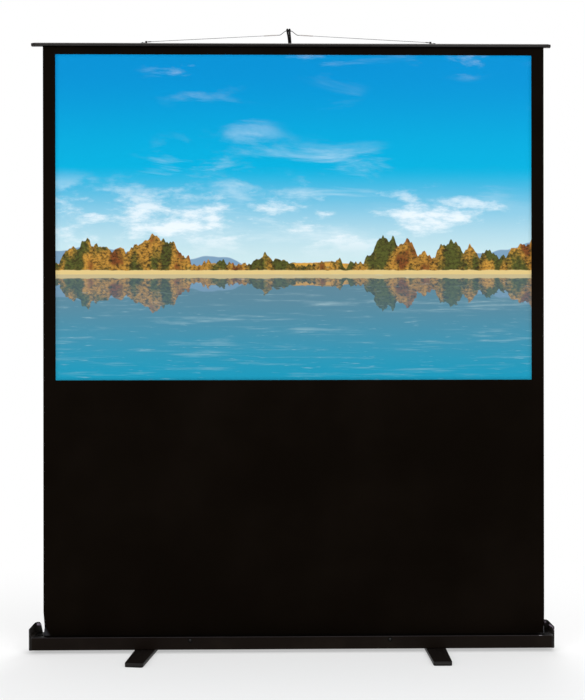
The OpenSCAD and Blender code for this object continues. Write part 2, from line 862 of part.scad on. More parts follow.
// A plug pressed into one end of the roller tube, notched for the spline's channel
module tube_plug(x0, x1, flange_x) {
    along_x(x0, x1) translate([roller_y, roller_z]) difference() {
        circle(roller_in_r - seated);
        translate([0, spline_at]) circle(spline_r + spline_wall + seated);
    }
    rod_x(flange_x, flange_x + flange_t, roller_y, roller_z, tube_r);
}

module idle_plug() {
    color([0.2, 0.2, 0.2]) {
        tube_plug(idle_end_x - plug_l, idle_end_x, idle_end_x);
        rod_x(idle_end_x + 1, casing_end - bush_lip - free_gap, roller_y, roller_z, idle_pin_r + 2);
        rod_x(idle_end_x + flange_t, casing_end + bracket_t + 1, roller_y, roller_z, idle_pin_r);
    }
}

module spring_plug() {
    color([0.2, 0.2, 0.2]) difference() {
        tube_plug(spring_end_x, spring_end_x + plug_l, spring_end_x - flange_t);
        rod_x(spring_end_x - flange_t - 1, spring_end_x + plug_l + 1, roller_y, roller_z, shaft_r + running);
    }
}

module spring_grip() {
    x0 = spring_end_x + plug_l + spring_l;
    color([0.2, 0.2, 0.2]) difference() {
        along_x(x0, x0 + plug_l + 4) translate([roller_y, roller_z]) difference() {
            circle(roller_in_r - seated);
            translate([0, spline_at]) circle(spline_r + spline_wall + seated);
        }
        rod_x(x0 - 1, x0 + plug_l + 1, roller_y, roller_z, shaft_r + running);
    }
}

// The turns of fabric that stay on the roller
module fabric_turns() {
    color(soft_black) along_x(fabric_left, fabric_right) translate([roller_y, roller_z]) difference() {
        circle(turns_r);
        circle(tube_r + seated);
    }
}

// The top bar's outline in Y and Z, round on top
module rail_outline() {
    round_z = bar_top + rail_flat - rail_r;
    round_rect(-rail_r, bar_z, rail_r, round_z + rail_corner, rail_corner);
    intersection() {
        translate([0, round_z]) circle(rail_r);
        translate([-rail_r, round_z]) square([rail_d, rail_r - rail_flat]);
    }
}

module top_rail() {
    color(satin_black) difference() {
        along_x(-rail_end, rail_end) difference() {
            rail_outline();
            translate([0, hem_z]) circle(hem_r + hem_play);
            translate([-groove_half, bar_z - 1]) square([2 * groove_half, hem_z - bar_z]);
        }
        for (x = anchor_screw_xs) rod_z(x, 0, hem_z, bar_top + 1, screw_r + running);
    }
}

// A tip at the bar's right end, sloped down towards its end
module rail_tip() {
    rod_x(rail_end - tip_plug_l, rail_end + 1, 0, hem_z, hem_r + hem_play - seated);
    intersection() {
        along_x(rail_end, bar_end) rail_outline();
        translate([0, rail_r, 0]) rotate([90, 0, 0]) linear_extrude(rail_d) polygon([
            [rail_end, bar_z], [bar_end, bar_z], [bar_end, bar_top - 3.5], [rail_end + 4, bar_top - 0.5],
            [rail_end, bar_top - 0.5]
        ]);
    }
}

module rail_tip_right() {
    color(soft_black) rail_tip();
}

module rail_tip_left() {
    color(soft_black) mirror([1, 0, 0]) rail_tip();
}

module hem_rod() {
    color([0.5, 0.5, 0.5]) rod_x(fabric_left, fabric_right, 0, hem_z, hem_r);
}

// The black fabric, from the roller up through the slot into the bar
module screen_fabric() {
    color(soft_black) translate([fabric_left, -fabric_t / 2, roller_z])
        cube([fabric_w, fabric_t, hem_z - hem_r - seated - roller_z]);
}

// The white surface on the fabric's front
module viewing_surface() {
    color([0.93, 0.94, 0.95]) translate([fabric_x - view_w / 2, -fabric_t / 2 - coat_t, slot_z + drop_h])
        cube([view_w, coat_t, view_h]);
}

// A cable anchor: a plate screwed on the bar, with an upright lug at its inner end
module anchor(x, inward, screw_x) {
    plate_x = inward > 0 ? x - anchor_l : x;
    lug_x = inward > 0 ? x - lug_l : x;
    difference() {
        union() {
            translate([plate_x, -anchor_w / 2, bar_top]) cube([anchor_l, anchor_w, anchor_t]);
            translate([lug_x, -lug_t / 2, bar_top]) cube([lug_l, lug_t, anchor_h]);
        }
        rod_z(screw_x, 0, bar_top - 1, bar_top + anchor_t + 1, screw_r + passing);
    }
}

module anchor_left() {
    color(zinc) anchor(anchor_xs[0] + anchor_l / 2, 1, anchor_screw_xs[0]);
}

module anchor_right() {
    color(zinc) anchor(anchor_xs[1] - anchor_l / 2, -1, anchor_screw_xs[1]);
}

module anchor_screws() {
    color(zinc) for (x = anchor_screw_xs)
        translate([x, 0, bar_top + anchor_t]) pan_screw(screw_r, anchor_t + 2.5, anchor_w / 2, 1.6);
}

// The ends of each cable: at its anchor's lug, and at the tail of the bow
function cable_start(s) =
    [anchor_xs[s] + (s == 0 ? 1 : -1) * (anchor_l / 2 + free_gap), 0, bar_top + anchor_h / 2 + 1];
function cable_stop(s) = [hook_x + (s == 0 ? -1 : 1) * (sleeve_start + free_gap), tail_y, bow_z - bow_h];
function cable_at(s, t) = cable_start(s) * (1 - t) + cable_stop(s) * t;
function cable_length(s) = norm(cable_stop(s) - cable_start(s));

module hanger_cable(s) {
    color([0.55, 0.55, 0.56]) cord_tube([for (k = [0:8]) cable_at(s, k / 8)], cable_r, 8, [0, 0, 1]);
}

module hanger_cable_left() {
    hanger_cable(0);
}

module hanger_cable_right() {
    hanger_cable(1);
}

// A crimped sleeve around a cable, from one distance to another before the bow
module sleeve_on(s, from, to, r) {
    difference() {
        rod_between(cable_before(s, from), cable_before(s, to), r);
        rod_between(cable_before(s, from - 1), cable_before(s, to + 1), cable_r + seated);
    }
}

// The point on a cable at a distance before the bow
function cable_before(s, d) = cable_at(s, 1 - d / cable_length(s));

module cable_sleeves() {
    color([0.2, 0.2, 0.2]) for (s = [0, 1]) sleeve_on(s, 0.5, sleeve_l, sleeve_r);
}

module cable_ferrules() {
    color(zinc) for (s = [0, 1])
        sleeve_on(s, cable_length(s) - 2 - ferrule_l, cable_length(s) - 2, ferrule_r);
}

// The stiff bow in the middle of the hanger wire
module hanger_bow() {
    points = [
        [-sleeve_start, 0, -bow_h], [-bow_half, 0, -bow_h], [-bow_flat / 2, 0, 0], [bow_flat / 2, 0, 0],
        [bow_half, 0, -bow_h], [sleeve_start, 0, -bow_h]
    ];
    color([0.25, 0.25, 0.26]) translate([hook_x, wire_y, bow_z])
        cord_tube(eased(points, 6), bow_r, 8, [0, 1, 0]);
}

// The pole's foot: a knuckle on the hinge bolt and a plug in the lower tube
module pole_knuckle() {
    color(soft_black) difference() {
        union() {
            rod_y(pole_x, fork_y0 + free_gap, fork_y1 - free_gap, hinge_z, lower_r);
            rod_z(pole_x, pole_y, hinge_z, lower_z0, lower_r);
            rod_z(pole_x, pole_y, lower_z0 - 1, lower_z0 + knuckle_plug_l, lower_in_r - seated);
        }
        rod_y(pole_x, fork_y0 - 1, fork_y1 + 1, hinge_z, hinge_bolt_r + running);
    }
}

// One tube of the pole
module pole_tube(z0, z1, r) {
    difference() {
        rod_z(pole_x, pole_y, z0, z1, r);
        rod_z(pole_x, pole_y, z0 - 1, z1 + 1, r - pole_wall);
    }
}

module pole_lower_tube() {
    color(satin_black) pole_tube(lower_z0, lower_z1, lower_r);
}

module pole_middle_tube() {
    color(satin_black) pole_tube(middle_z0, middle_z1, middle_r);
}

module pole_top_tube() {
    color(satin_black) pole_tube(top_z0, top_z1, top_r);
}

// A clamp collar on the top of a tube, split behind between the lever's ears
module collar(tube_z1, outer_r, inner_r) {
    z0 = tube_z1 - collar_grip;
    z1 = tube_z1 + collar_top;
    pin_y = pole_y + ear_reach;
    pin_z = z0 + lever_pin_dz;
    difference() {
        union() {
            rod_z(pole_x, pole_y, z0, z1, collar_r);
            translate([pole_x - ear_half, pole_y, pin_z - ear_block_h / 2])
                cube([2 * ear_half, ear_reach, ear_block_h]);
            rod_x(pole_x - ear_half, pole_x + ear_half, pin_y, pin_z, 5);
        }
        rod_z(pole_x, pole_y, z0 - 1, tube_z1, outer_r + seated);
        rod_z(pole_x, pole_y, z0, z1 + 1, inner_r + running);
        translate([pole_x - 1, pole_y, z0 - 1]) cube([2, ear_reach + 8, collar_h + 2]);
        translate([pole_x - lever_half - lever_gap, pin_y - lever_eye_r - lever_gap - 0.5, pin_z - 10])
            cube([2 * (lever_half + lever_gap), 20, 20]);
        rod_x(pole_x - ear_half - 1, pole_x + ear_half + 1, pin_y, pin_z, lever_pin_r + seated);
    }
}

module lower_collar() {
    color(soft_black) collar(lower_z1, lower_r, middle_r);
}

module upper_collar() {
    color(soft_black) collar(middle_z1, middle_r, top_r);
}

module lever_pin(tube_z1) {
    color(zinc) rod_x(pole_x - ear_half - 0.5, pole_x + ear_half + 0.5, pole_y + ear_reach,
        tube_z1 - collar_grip + lever_pin_dz, lever_pin_r);
}

module lower_lever_pin() {
    lever_pin(lower_z1);
}

module upper_lever_pin() {
    lever_pin(middle_z1);
}

// A clamp lever, closed: it hangs down behind the pole from its pin
module clamp_lever(tube_z1) {
    pin_y = pole_y + ear_reach;
    pin_z = tube_z1 - collar_grip + lever_pin_dz;
    color(soft_black) difference() {
        union() {
            rod_x(pole_x - lever_half, pole_x + lever_half, pin_y, pin_z, lever_eye_r);
            along_x(pole_x - lever_half, pole_x + lever_half) polygon([
                [pin_y, pin_z], [pin_y + lever_eye_r, pin_z], [pin_y + lever_eye_r + 1, pin_z - 12],
                [pin_y - 2, pin_z - 12]
            ]);
            along_x(pole_x - ear_half + 1, pole_x + ear_half - 1) polygon([
                [pin_y + lever_eye_r + 1, pin_z - 9], [pin_y + lever_eye_r + 2.5, pin_z - lever_l + 8],
                [pin_y + lever_eye_r + 5.5, pin_z - lever_l], [pin_y + lever_eye_r + 2, pin_z - lever_l],
                [pin_y + lever_eye_r - 2.5, pin_z - lever_l + 10], [pin_y - 1.5, pin_z - 12],
                [pin_y + 2, pin_z - 9]
            ]);
        }
        rod_x(pole_x - ear_half, pole_x + ear_half, pin_y, pin_z, lever_pin_r + running);
    }
}

module lower_clamp_lever() {
    clamp_lever(lower_z1);
}

module upper_clamp_lever() {
    clamp_lever(middle_z1);
}

// The plastic bush at the foot of a sliding tube
module slide_bush(z0, guide_r, tube_in_r) {
    color([0.85, 0.84, 0.8]) difference() {
        union() {
            rod_z(pole_x, pole_y, z0 - bush_flange, z0, guide_r - running);
            rod_z(pole_x, pole_y, z0 - 1, z0 + bush_l, tube_in_r - seated);
        }
        rod_z(pole_x, pole_y, z0 - bush_flange - 1, z0 + bush_l + 1, tube_in_r / 2);
    }
}

module middle_bush() {
    slide_bush(middle_z0, lower_in_r, middle_in_r);
}

module top_bush() {
    slide_bush(top_z0, middle_in_r, top_in_r);
}

// The plug in the top tube that holds the hook's rods
hook_hold = 20;
module hook_plug() {
    color(soft_black) difference() {
        union() {
            rod_z(pole_x, pole_y, top_z1 - 18, top_z1 + 1, top_in_r - seated);
            rod_z(pole_x, pole_y, top_z1, hook_base_z, top_r);
        }
        for (x = [pole_x - rod_pitch / 2, pole_x + rod_pitch / 2]) {
            rod_z(x, pole_y, hook_base_z - hook_hold, hook_base_z + 1, rod_r + seated);
            rod_z(x, pole_y, hook_base_z - 4, hook_base_z + 1, rod_r + 0.4);
        }
    }
}

// The hook: two rods that come forward from the pole and curl under and over the wire
module hanger_hook() {
    front_y = wire_y - bend_r;
    middle_y = wire_y + bend_r;
    neck_y = wire_y + 3 * bend_r;
    over = hook_l + 2 + bend_r;
    // for each corner: distance behind the fabric, distance along the lean, distance between the rods
    run = [
        [pole_y, 12, rod_pitch], [neck_y, hook_l - 24, rod_pitch], [neck_y, over, tip_pitch],
        [middle_y, over, tip_pitch], [middle_y, hook_l - bend_r, tip_pitch],
        [front_y, hook_l - bend_r, tip_pitch], [front_y, hook_l + tip_rise, tip_pitch]
    ];
    color(soft_black) translate([pole_x, 0, hook_base_z]) for (s = [-0.5, 0.5]) {
        path = [
            [s * rod_pitch, pole_y, -hook_hold], [s * rod_pitch, pole_y, 0],
            for (p = run) [s * p[2] - p[1] * sin(hook_lean), p[0], p[1] * cos(hook_lean)]
        ];
        cord_tube(eased(path, bend_r - 0.05), rod_r, 8, [1, 0, 0]);
    }
}

casing_shell();
end_cap_left();
end_cap_right();
end_cap_screws();
spring_bracket();
idle_bracket();
idle_bush();
spring_shaft();
torsion_spring();
roller_saddles();
front_screws();
foot_plates();
foot_bolts();
foot_washers();
pole_bracket();
bracket_screws();
pole_hinge_bolt();
pole_hinge_nut();
pole_clip();
clip_screws();
roller_tube();
idle_plug();
spring_plug();
spring_grip();
fabric_spline();
fabric_turns();
top_rail();
rail_tip_left();
rail_tip_right();
hem_rod();
screen_fabric();
viewing_surface();
anchor_left();
anchor_right();
anchor_screws();
hanger_cable_left();
hanger_cable_right();
cable_sleeves();
cable_ferrules();
hanger_bow();
foot_left_bar();
foot_left_pads();
foot_right_bar();
foot_right_pads();
pole_lower_tube();
pole_knuckle();
lower_collar();
lower_lever_pin();
lower_clamp_lever();
pole_middle_tube();
middle_bush();
upper_collar();
upper_lever_pin();
upper_clamp_lever();
pole_top_tube();
top_bush();
hook_plug();
hanger_hook();
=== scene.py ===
import json
import math

import bmesh
import bpy
from mathutils import Matrix, Vector


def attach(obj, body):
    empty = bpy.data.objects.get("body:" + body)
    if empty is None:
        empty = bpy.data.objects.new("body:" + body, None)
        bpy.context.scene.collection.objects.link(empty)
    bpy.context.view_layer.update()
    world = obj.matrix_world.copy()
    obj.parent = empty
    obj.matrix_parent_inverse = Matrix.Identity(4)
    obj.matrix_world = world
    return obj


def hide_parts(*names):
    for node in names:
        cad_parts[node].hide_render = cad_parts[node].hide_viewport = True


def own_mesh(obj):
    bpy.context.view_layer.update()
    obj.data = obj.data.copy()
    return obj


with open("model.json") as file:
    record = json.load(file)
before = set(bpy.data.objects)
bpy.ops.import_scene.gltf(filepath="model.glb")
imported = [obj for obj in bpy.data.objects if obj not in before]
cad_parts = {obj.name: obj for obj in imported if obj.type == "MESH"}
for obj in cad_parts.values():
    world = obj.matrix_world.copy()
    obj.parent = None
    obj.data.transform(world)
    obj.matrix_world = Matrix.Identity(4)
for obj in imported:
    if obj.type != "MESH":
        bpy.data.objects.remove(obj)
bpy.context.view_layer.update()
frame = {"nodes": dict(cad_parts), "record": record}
nodes = frame["nodes"]
bodyOf = {node: body for body, group in frame["record"]["behaviour"]["bodies"].items() for node in group}
mm = 0.001

photoView = {
    "place": (-0.0494, -3.65, 1.152), "yaw": -0.77, "roll": 0.07, "lens": 59.4, "shift": (0.0008, -0.0085),
    "sensor": 36, "farClip": 100,
}


def placeCamera(view):
    data = bpy.data.cameras.new("photoCamera")
    data.sensor_fit = "HORIZONTAL"
    data.sensor_width = view["sensor"]
    data.lens = view["lens"]
    data.shift_x, data.shift_y = view["shift"]
    data.clip_end = view["farClip"]
    camera = bpy.data.objects.new("photoCamera", data)
    camera.location = view["place"]
    camera.rotation_euler = (math.radians(90), math.radians(view["roll"]), math.radians(view["yaw"]))
    bpy.context.scene.collection.objects.link(camera)
    bpy.context.scene.camera = camera


placeCamera(photoView)
print("camera placed")


class Wire:
    # one socket of a node tree, on which sums and products add Math nodes
    def __init__(self, tree, socket=None):
        self.tree, self.socket = tree, socket

    def node(self, kind, settings=None, inputs=None, out=0):
        made = self.tree.nodes.new(kind)
        for name, value in (settings or {}).items():
            setattr(made, name, value)
        for name, value in (inputs or {}).items():
            if isinstance(value, Wire):
                self.tree.links.new(value.socket, made.inputs[name])
            else:
                made.inputs[name].default_value = value
        return Wire(self.tree, made.outputs[out])

    def maths(self, operation, *values):
        return self.node("ShaderNodeMath", {"operation": operation}, dict(enumerate(values)))

    def __add__(self, other):
        return self.maths("ADD", self, other)

    def __radd__(self, other):
        return self.maths("ADD", other, self)

    def __sub__(self, other):
        return self.maths("SUBTRACT", self, other)

    def __rsub__(self, other):
        return self.maths("SUBTRACT", other, self)

    def __mul__(self, other):
        return self.maths("MULTIPLY", self, other)

    def __rmul__(self, other):
        return self.maths("MULTIPLY", other, self)

    def __truediv__(self, other):
        return self.maths("DIVIDE", self, other)

    def __neg__(self):
        return self.maths("MULTIPLY", self, -1.0)

    def absolute(self):
        return self.maths("ABSOLUTE", self)

    def sine(self):
        return self.maths("SINE", self)

    def root(self):
        return self.maths("SQRT", self)

    def atLeast(self, low):
        return self.maths("MAXIMUM", self, low)

    def atMost(self, high):
        return self.maths("MINIMUM", self, high)


def step(x, low, high):
    return x.node("ShaderNodeMapRange", {"interpolation_type": "SMOOTHSTEP"},
                  {"Value": x, "From Min": low, "From Max": high})


def rise(x, low, high, most):
    return step(x, low, high) * most


def blendColours(wire, share, first, second):
    return wire.node("ShaderNodeMix", {"data_type": "RGBA"}, {0: share, 6: first, 7: second}, out=2)


def noise(wire, place, scale, detail=2.0, roughness=0.5, distortion=0.0):
    return wire.node("ShaderNodeTexNoise", {}, {
        "Vector": place, "Scale": scale, "Detail": detail, "Roughness": roughness, "Distortion": distortion})


def joined(wire, x, y, z=0.0):
    return wire.node("ShaderNodeCombineXYZ", {}, {"X": x, "Y": y, "Z": z})


def outlets(wire, names):
    # further outputs of the node that a wire comes from
    return [Wire(wire.tree, wire.socket.node.outputs[name]) for name in names]


def parted(point):
    return outlets(point.node("ShaderNodeSeparateXYZ", {}, {"Vector": point}), range(3))


def tint(red, green, blue):
    # a colour as the screen shows it, 0 to 255, made linear
    def linear(c):
        c = c / 255
        return c / 12.92 if c <= 0.04045 else ((c + 0.055) / 1.055) ** 2.4
    return (linear(red), linear(green), linear(blue), 1.0)


def newFinish(name, constants=None):
    # an empty material, its start wire, and its Principled node
    material = bpy.data.materials.new(name)
    material.use_nodes = True
    shader = material.node_tree.nodes["Principled BSDF"]
    for socket, value in (constants or {}).items():
        shader.inputs[socket].default_value = value
    return material, Wire(material.node_tree), shader


def feed(shader, socket, value):
    if isinstance(value, Wire):
        value.tree.links.new(value.socket, shader.inputs[socket])
    else:
        shader.inputs[socket].default_value = value


def place(wire, source="Object"):
    return outlets(wire.node("ShaderNodeTexCoord"), [source])[0]


def bump(wire, height, relief):
    return wire.node("ShaderNodeBump", {}, {"Height": height, "Distance": relief, "Strength": 1.0})


def distance(across, up, spot):
    # how far a point lies from a spot
    across, up = across - spot[0], up - spot[1]
    return (across * across + up * up).root()


plainFinishes = {
    # name: (colour, colour where worn or dusty, roughness, its spread, grain scale, grain depth, metallic, specular)
    "casingPaint": (tint(19, 13, 9), tint(29, 23, 18), 0.42, 0.10, 900, 0.00004, 0.0, 0.05),
    "capPlastic": (tint(17, 13, 10), tint(29, 25, 22), 0.40, 0.12, 1400, 0.00006, 0.0, 0.14),
    "hookBlack": (tint(11, 9, 8), tint(24, 21, 19), 0.46, 0.10, 1200, 0.00003, 0.0, 0.12),
    "polePaint": (tint(16, 15, 14), tint(40, 38, 36), 0.30, 0.08, 700, 0.00002, 0.0, 0.40),
    "softPlastic": (tint(24, 23, 22), tint(38, 36, 34), 0.50, 0.10, 1600, 0.00005, 0.0, 0.35),
    "footPaint": (tint(20, 16, 14), tint(36, 31, 27), 0.40, 0.10, 800, 0.00005, 0.0, 0.14),
    "screwBlack": (tint(26, 23, 21), tint(44, 40, 37), 0.36, 0.10, 600, 0.00002, 0.2, 0.22),
    "zincSteel": (tint(176, 178, 182), tint(120, 118, 112), 0.34, 0.14, 500, 0.00002, 1.0, 0.50),
    "springSteel": (tint(96, 98, 104), tint(64, 60, 54), 0.32, 0.12, 700, 0.00001, 1.0, 0.50),
    "bowSteel": (tint(50, 50, 54), tint(40, 38, 38), 0.34, 0.12, 700, 0.00001, 1.0, 0.50),
    "tubeAluminium": (tint(186, 188, 192), tint(150, 150, 150), 0.38, 0.10, 400, 0.00001, 1.0, 0.50),
    "slidePlastic": (tint(214, 211, 200), tint(190, 184, 168), 0.42, 0.10, 900, 0.00003, 0.0, 0.45),
    "innerPlastic": (tint(42, 42, 44), tint(70, 68, 66), 0.48, 0.10, 1200, 0.00004, 0.0, 0.40),
    "sleevePlastic": (tint(168, 162, 160), tint(132, 124, 122), 0.45, 0.10, 900, 0.00003, 0.0, 0.40),
    "padRubber": (tint(24, 24, 24), tint(58, 54, 48), 0.78, 0.10, 1100, 0.00010, 0.0, 0.25),
}


wearLook = {
    "patches": 9.0, "stretch": (3.0, 40.0, 40.0), "patchShare": 0.6, "wear": (0.50, 0.74, 0.5), "relief": 4,
    "streaks": (6.0, 4.0),  # scale, detail
    "patchNoise": (3.0, 0.6), "grainNoise": (2.0, 0.6),  # detail, roughness
}


def fineGrain(wire, at, look):
    return noise(wire, at, look["grain"], *wearLook["grainNoise"])


def startPaint(name, look):
    # a material with its start wire and shader, its coordinates, and large patches and fine grain of noise
    material, wire, shader = newFinish(name, {"Specular IOR Level": look["specular"]})
    at = place(wire)
    large = noise(wire, at, look["patches"], *wearLook["patchNoise"])
    return material, wire, shader, at, large, fineGrain(wire, at, look)


def wornTone(wire, look, large):
    # the paint's own colour, worn lighter in patches
    return blendColours(wire, rise(large, *look["wear"]), look["colour"], look["wearAndHighlight"])


def endPaint(wire, shader, look, tone, large, fine):
    feed(shader, "Base Color", tone)
    feed(shader, "Roughness", look["roughness"] + (large - 0.5) * look["spread"] + (fine - 0.5) * look["spread"])
    feed(shader, "Normal", bump(wire, fine, look["relief"]))


def plainFinish(name, colour, wearAndHighlight, roughness, spread, grain, depth, metallic, specular):
    look = {"specular": specular, "patches": wearLook["patches"], "grain": float(grain), "roughness": roughness,
            "spread": spread, "relief": depth * wearLook["relief"]}
    material, wire, shader, at, large, fine = startPaint(name, look)
    feed(shader, "Metallic", metallic)
    stretched = at.node("ShaderNodeMapping", {}, {"Vector": at, "Scale": wearLook["stretch"]})
    streaks = noise(wire, stretched, *wearLook["streaks"])
    wear = rise(large * wearLook["patchShare"] + streaks * (1 - wearLook["patchShare"]), *wearLook["wear"])
    endPaint(wire, shader, look, blendColours(wire, wear, colour, wearAndHighlight), large, fine)
    return material


finishes = {name: plainFinish(name, *values) for name, values in plainFinishes.items()}


capLook = {
    # the pale colour here is a painted highlight for the tops of the ears, and the small spot is a painted glint
    "colour": tint(17, 13, 10), "wearAndHighlight": tint(29, 25, 22), "paintedHighlight": tint(178, 162, 180), "rimFrom": 0.0855,
    "rimTo": 0.0955, "rimReach": 0.974, "rimMost": 0.8, "frontOf": 0.0385, "fade": 0.003, "edge": 0.001,
    "stretch": (240.0, 60.0, 40.0), "highlightBreaks": (4.0, 3.0), "highlightCover": (0.28, 0.62), "paintedGlint": (0.9840, 0.0815),
    "glintWide": 0.0036, "glintSoft": 0.5, "wear": (0.45, 0.75, 0.5), "specular": 0.16, "patches": 14.0,
    "grain": 1400.0, "roughness": 0.40, "spread": 0.12, "relief": 0.00024,
}


def capPlastic(look):
    # moulded black plastic, with a painted highlight in a band near the top of both ears and a painted glint on the
    # right ear's outer slope
    material, wire, shader, at, large, fine = startPaint("endCapPlastic", look)
    x, y, z = parted(at)
    stretched = at.node("ShaderNodeMapping", {}, {"Vector": at, "Scale": look["stretch"]})
    highlightBreaks = noise(wire, stretched, *look["highlightBreaks"])
    # painted highlight: a pale band near the top of both ears, broken up by streaky noise
    rim = step(z, look["rimFrom"], look["rimFrom"] + look["fade"]) * step(look["rimTo"] - z, 0.0, look["fade"])
    rim = rim * step(look["frontOf"] - y, 0.0, look["edge"])
    rim = rim * step(look["rimReach"] - x.absolute(), 0.0, look["fade"]) * step(highlightBreaks, *look["highlightCover"])
    # painted glint: a small pale spot on the right ear's outer slope
    paintedGlint = 1 - distance(x, z, look["paintedGlint"]) / look["glintWide"]
    tone = blendColours(wire, rim * look["rimMost"], wornTone(wire, look, large), look["paintedHighlight"])
    tone = blendColours(wire, step(paintedGlint, 0.0, look["glintSoft"]), tone, look["paintedHighlight"])
    endPaint(wire, shader, look, tone, large, fine)
    return material


finishes["endCapPlastic"] = capPlastic(capLook)

casingLook = {
    # the darkest colour is painted shade, and the two pale colours are painted highlights
    "colour": tint(19, 13, 9), "wearAndHighlight": tint(29, 23, 18), "shaded": tint(4, 3, 2), "lip": tint(48, 44, 46),
    "bright": tint(150, 146, 152), "lipFrom": 0.0612, "lipRear": -0.0350, "deckFrom": 0.0580, "slotFront": -0.0080,
    "screws": [(-0.3825, 0.051), (0.3645, 0.051)], "ringWide": 0.0105, "beadHighlightFrom": 0.917, "beadHighlightTo": 0.9555,
    "spotFrom": 0.9220, "spotTo": 0.9370, "fade": 0.003, "edge": 0.001, "frontEdge": 0.0005, "lipEdge": 0.0008,
    "ringSoft": 0.35, "beadMost": 0.5, "wear": (0.48, 0.72, 0.5), "specular": 0.05, "patches": 9.0,
    "grain": 900.0, "roughness": 0.42, "spread": 0.10, "relief": 0.00016,
}


def shellPaint(look):
    # black paint, darkened with painted shade on the casing's top behind the lip and in rings round the screws, with
    # a painted highlight along the lip's top edge and the slot's front edge, brightest near the right end
    material, wire, shader, at, large, fine = startPaint("shellPaint", look)
    x, y, z = parted(at)
    inFront = step(look["lipRear"] - y, 0.0, look["frontEdge"])
    # painted shade: the casing's top behind the lip is darkened
    deck = step(z, look["deckFrom"], look["deckFrom"] + look["edge"]) * (1 - inFront)
    tone = blendColours(wire, deck, wornTone(wire, look, large), look["shaded"])
    # painted shade in rings round the screws
    for spot in look["screws"]:
        ring = 1 - distance(x, z, spot) / look["ringWide"]
        tone = blendColours(wire, step(ring, 0.0, look["ringSoft"]) * inFront, tone, look["shaded"])
    # painted highlight along the lip's top edge, with a brighter painted highlight in a spot near its right end
    lip = step(z, look["lipFrom"], look["lipFrom"] + look["lipEdge"]) * inFront
    tone = blendColours(wire, lip, tone, look["lip"])
    paintedHighlight = step(x, look["spotFrom"], look["spotFrom"] + look["fade"]) * step(look["spotTo"] - x, 0.0, look["fade"])
    tone = blendColours(wire, lip * paintedHighlight, tone, look["bright"])
    # painted highlight along the slot's front edge near the right end
    bead = step(x, look["beadHighlightFrom"], look["beadHighlightTo"])
    bead = bead * step(y, look["slotFront"], look["slotFront"] + look["edge"]) * step(-y, 0.0, look["edge"])
    tone = blendColours(wire, bead * deck * look["beadMost"], tone, look["bright"])
    endPaint(wire, shader, look, tone, large, fine)
    return material


finishes["shellPaint"] = shellPaint(casingLook)

railLook = {
    # the pale colour is a painted highlight along the rail's top
    "colour": tint(13, 9, 7), "wearAndHighlight": tint(26, 22, 19), "paintedHighlight": tint(104, 102, 100), "from": 2.2850, "to": 2.2915,
    "highlightLeast": 0.55, "highlightPatchy": 0.5, "wear": (0.45, 0.75, 0.5), "specular": 0.12, "patches": 9.0,
    "grain": 900.0, "roughness": 0.34, "spread": 0.08, "relief": 0.00012,
}


def railPaint(look):
    # black paint, with a patchy painted highlight along the top of the rail
    material, wire, shader, at, large, fine = startPaint("railPaint", look)
    up = parted(at)[2]
    # painted highlight along the top of the rail
    paintedHighlight = step(up, look["from"], look["to"]) * (look["highlightLeast"] + large * look["highlightPatchy"])
    tone = blendColours(wire, paintedHighlight, wornTone(wire, look, large), look["paintedHighlight"])
    endPaint(wire, shader, look, tone, large, fine)
    return material


finishes["railPaint"] = railPaint(railLook)


cableLook = {
    "middle": -0.0119, "cleanTo": 0.10, "dullFrom": 0.42, "clean": tint(104, 106, 112), "dull": tint(44, 42, 44),
    "specular": 0.5, "grain": 700.0, "roughness": 0.32, "spread": 0.12, "relief": 0.00004,
}


def cableSteel(look):
    # drawn steel cable, tarnished darker towards its anchors
    material, wire, shader = newFinish("cableSteel", {"Metallic": 1.0, "Specular IOR Level": look["specular"]})
    at = place(wire)
    along = parted(at)[0] - look["middle"]
    fine = fineGrain(wire, at, look)
    dull = step(along.absolute(), look["cleanTo"], look["dullFrom"])
    feed(shader, "Base Color", blendColours(wire, dull, look["clean"], look["dull"]))
    feed(shader, "Roughness", look["roughness"] + (fine - 0.5) * look["spread"])
    feed(shader, "Normal", bump(wire, fine, look["relief"]))
    return material


finishes["cableSteel"] = cableSteel(cableLook)


def clothHeight(x, z, pitch):
    # a plain weave, in the two directions of the sheet
    return (x * (math.tau / pitch)).sine() * (z * (math.tau / pitch)).sine()


clothLook = {
    "pitch": 0.0011, "black": tint(10, 6, 3), "lighter": tint(16, 11, 7), "dust": tint(26, 22, 18),
    # the grey colour is a painted reflection for the lower left corner, and the pale one a painted highlight for the
    # right edge
    "paintedSheen": tint(70, 70, 74), "sheenWide": 0.032, "sheenHigh": 0.052, "sheenFoot": 0.056,
    "wearAndHighlight": tint(112, 112, 116), "edgeHighlightWide": 0.0034, "edgeHighlightTop": 0.088, "left": -0.9385, "right": 0.9555,
    "edgeHighlightSoft": 0.6, "edgeHighlightFade": 0.008, "sheenFade": (0.45, 1.0), "highlightLeast": 0.3,
    "clouds": (2.2, 3.0, 0.55), "specks": (260.0, 3.0, 0.7),  # scale, detail, roughness
    "clouded": (0.35, 0.75), "dusty": (0.74, 0.92, 0.35), "specular": 0.02, "roughness": 0.82, "spread": 0.12,
    "relief": 0.00005,
}


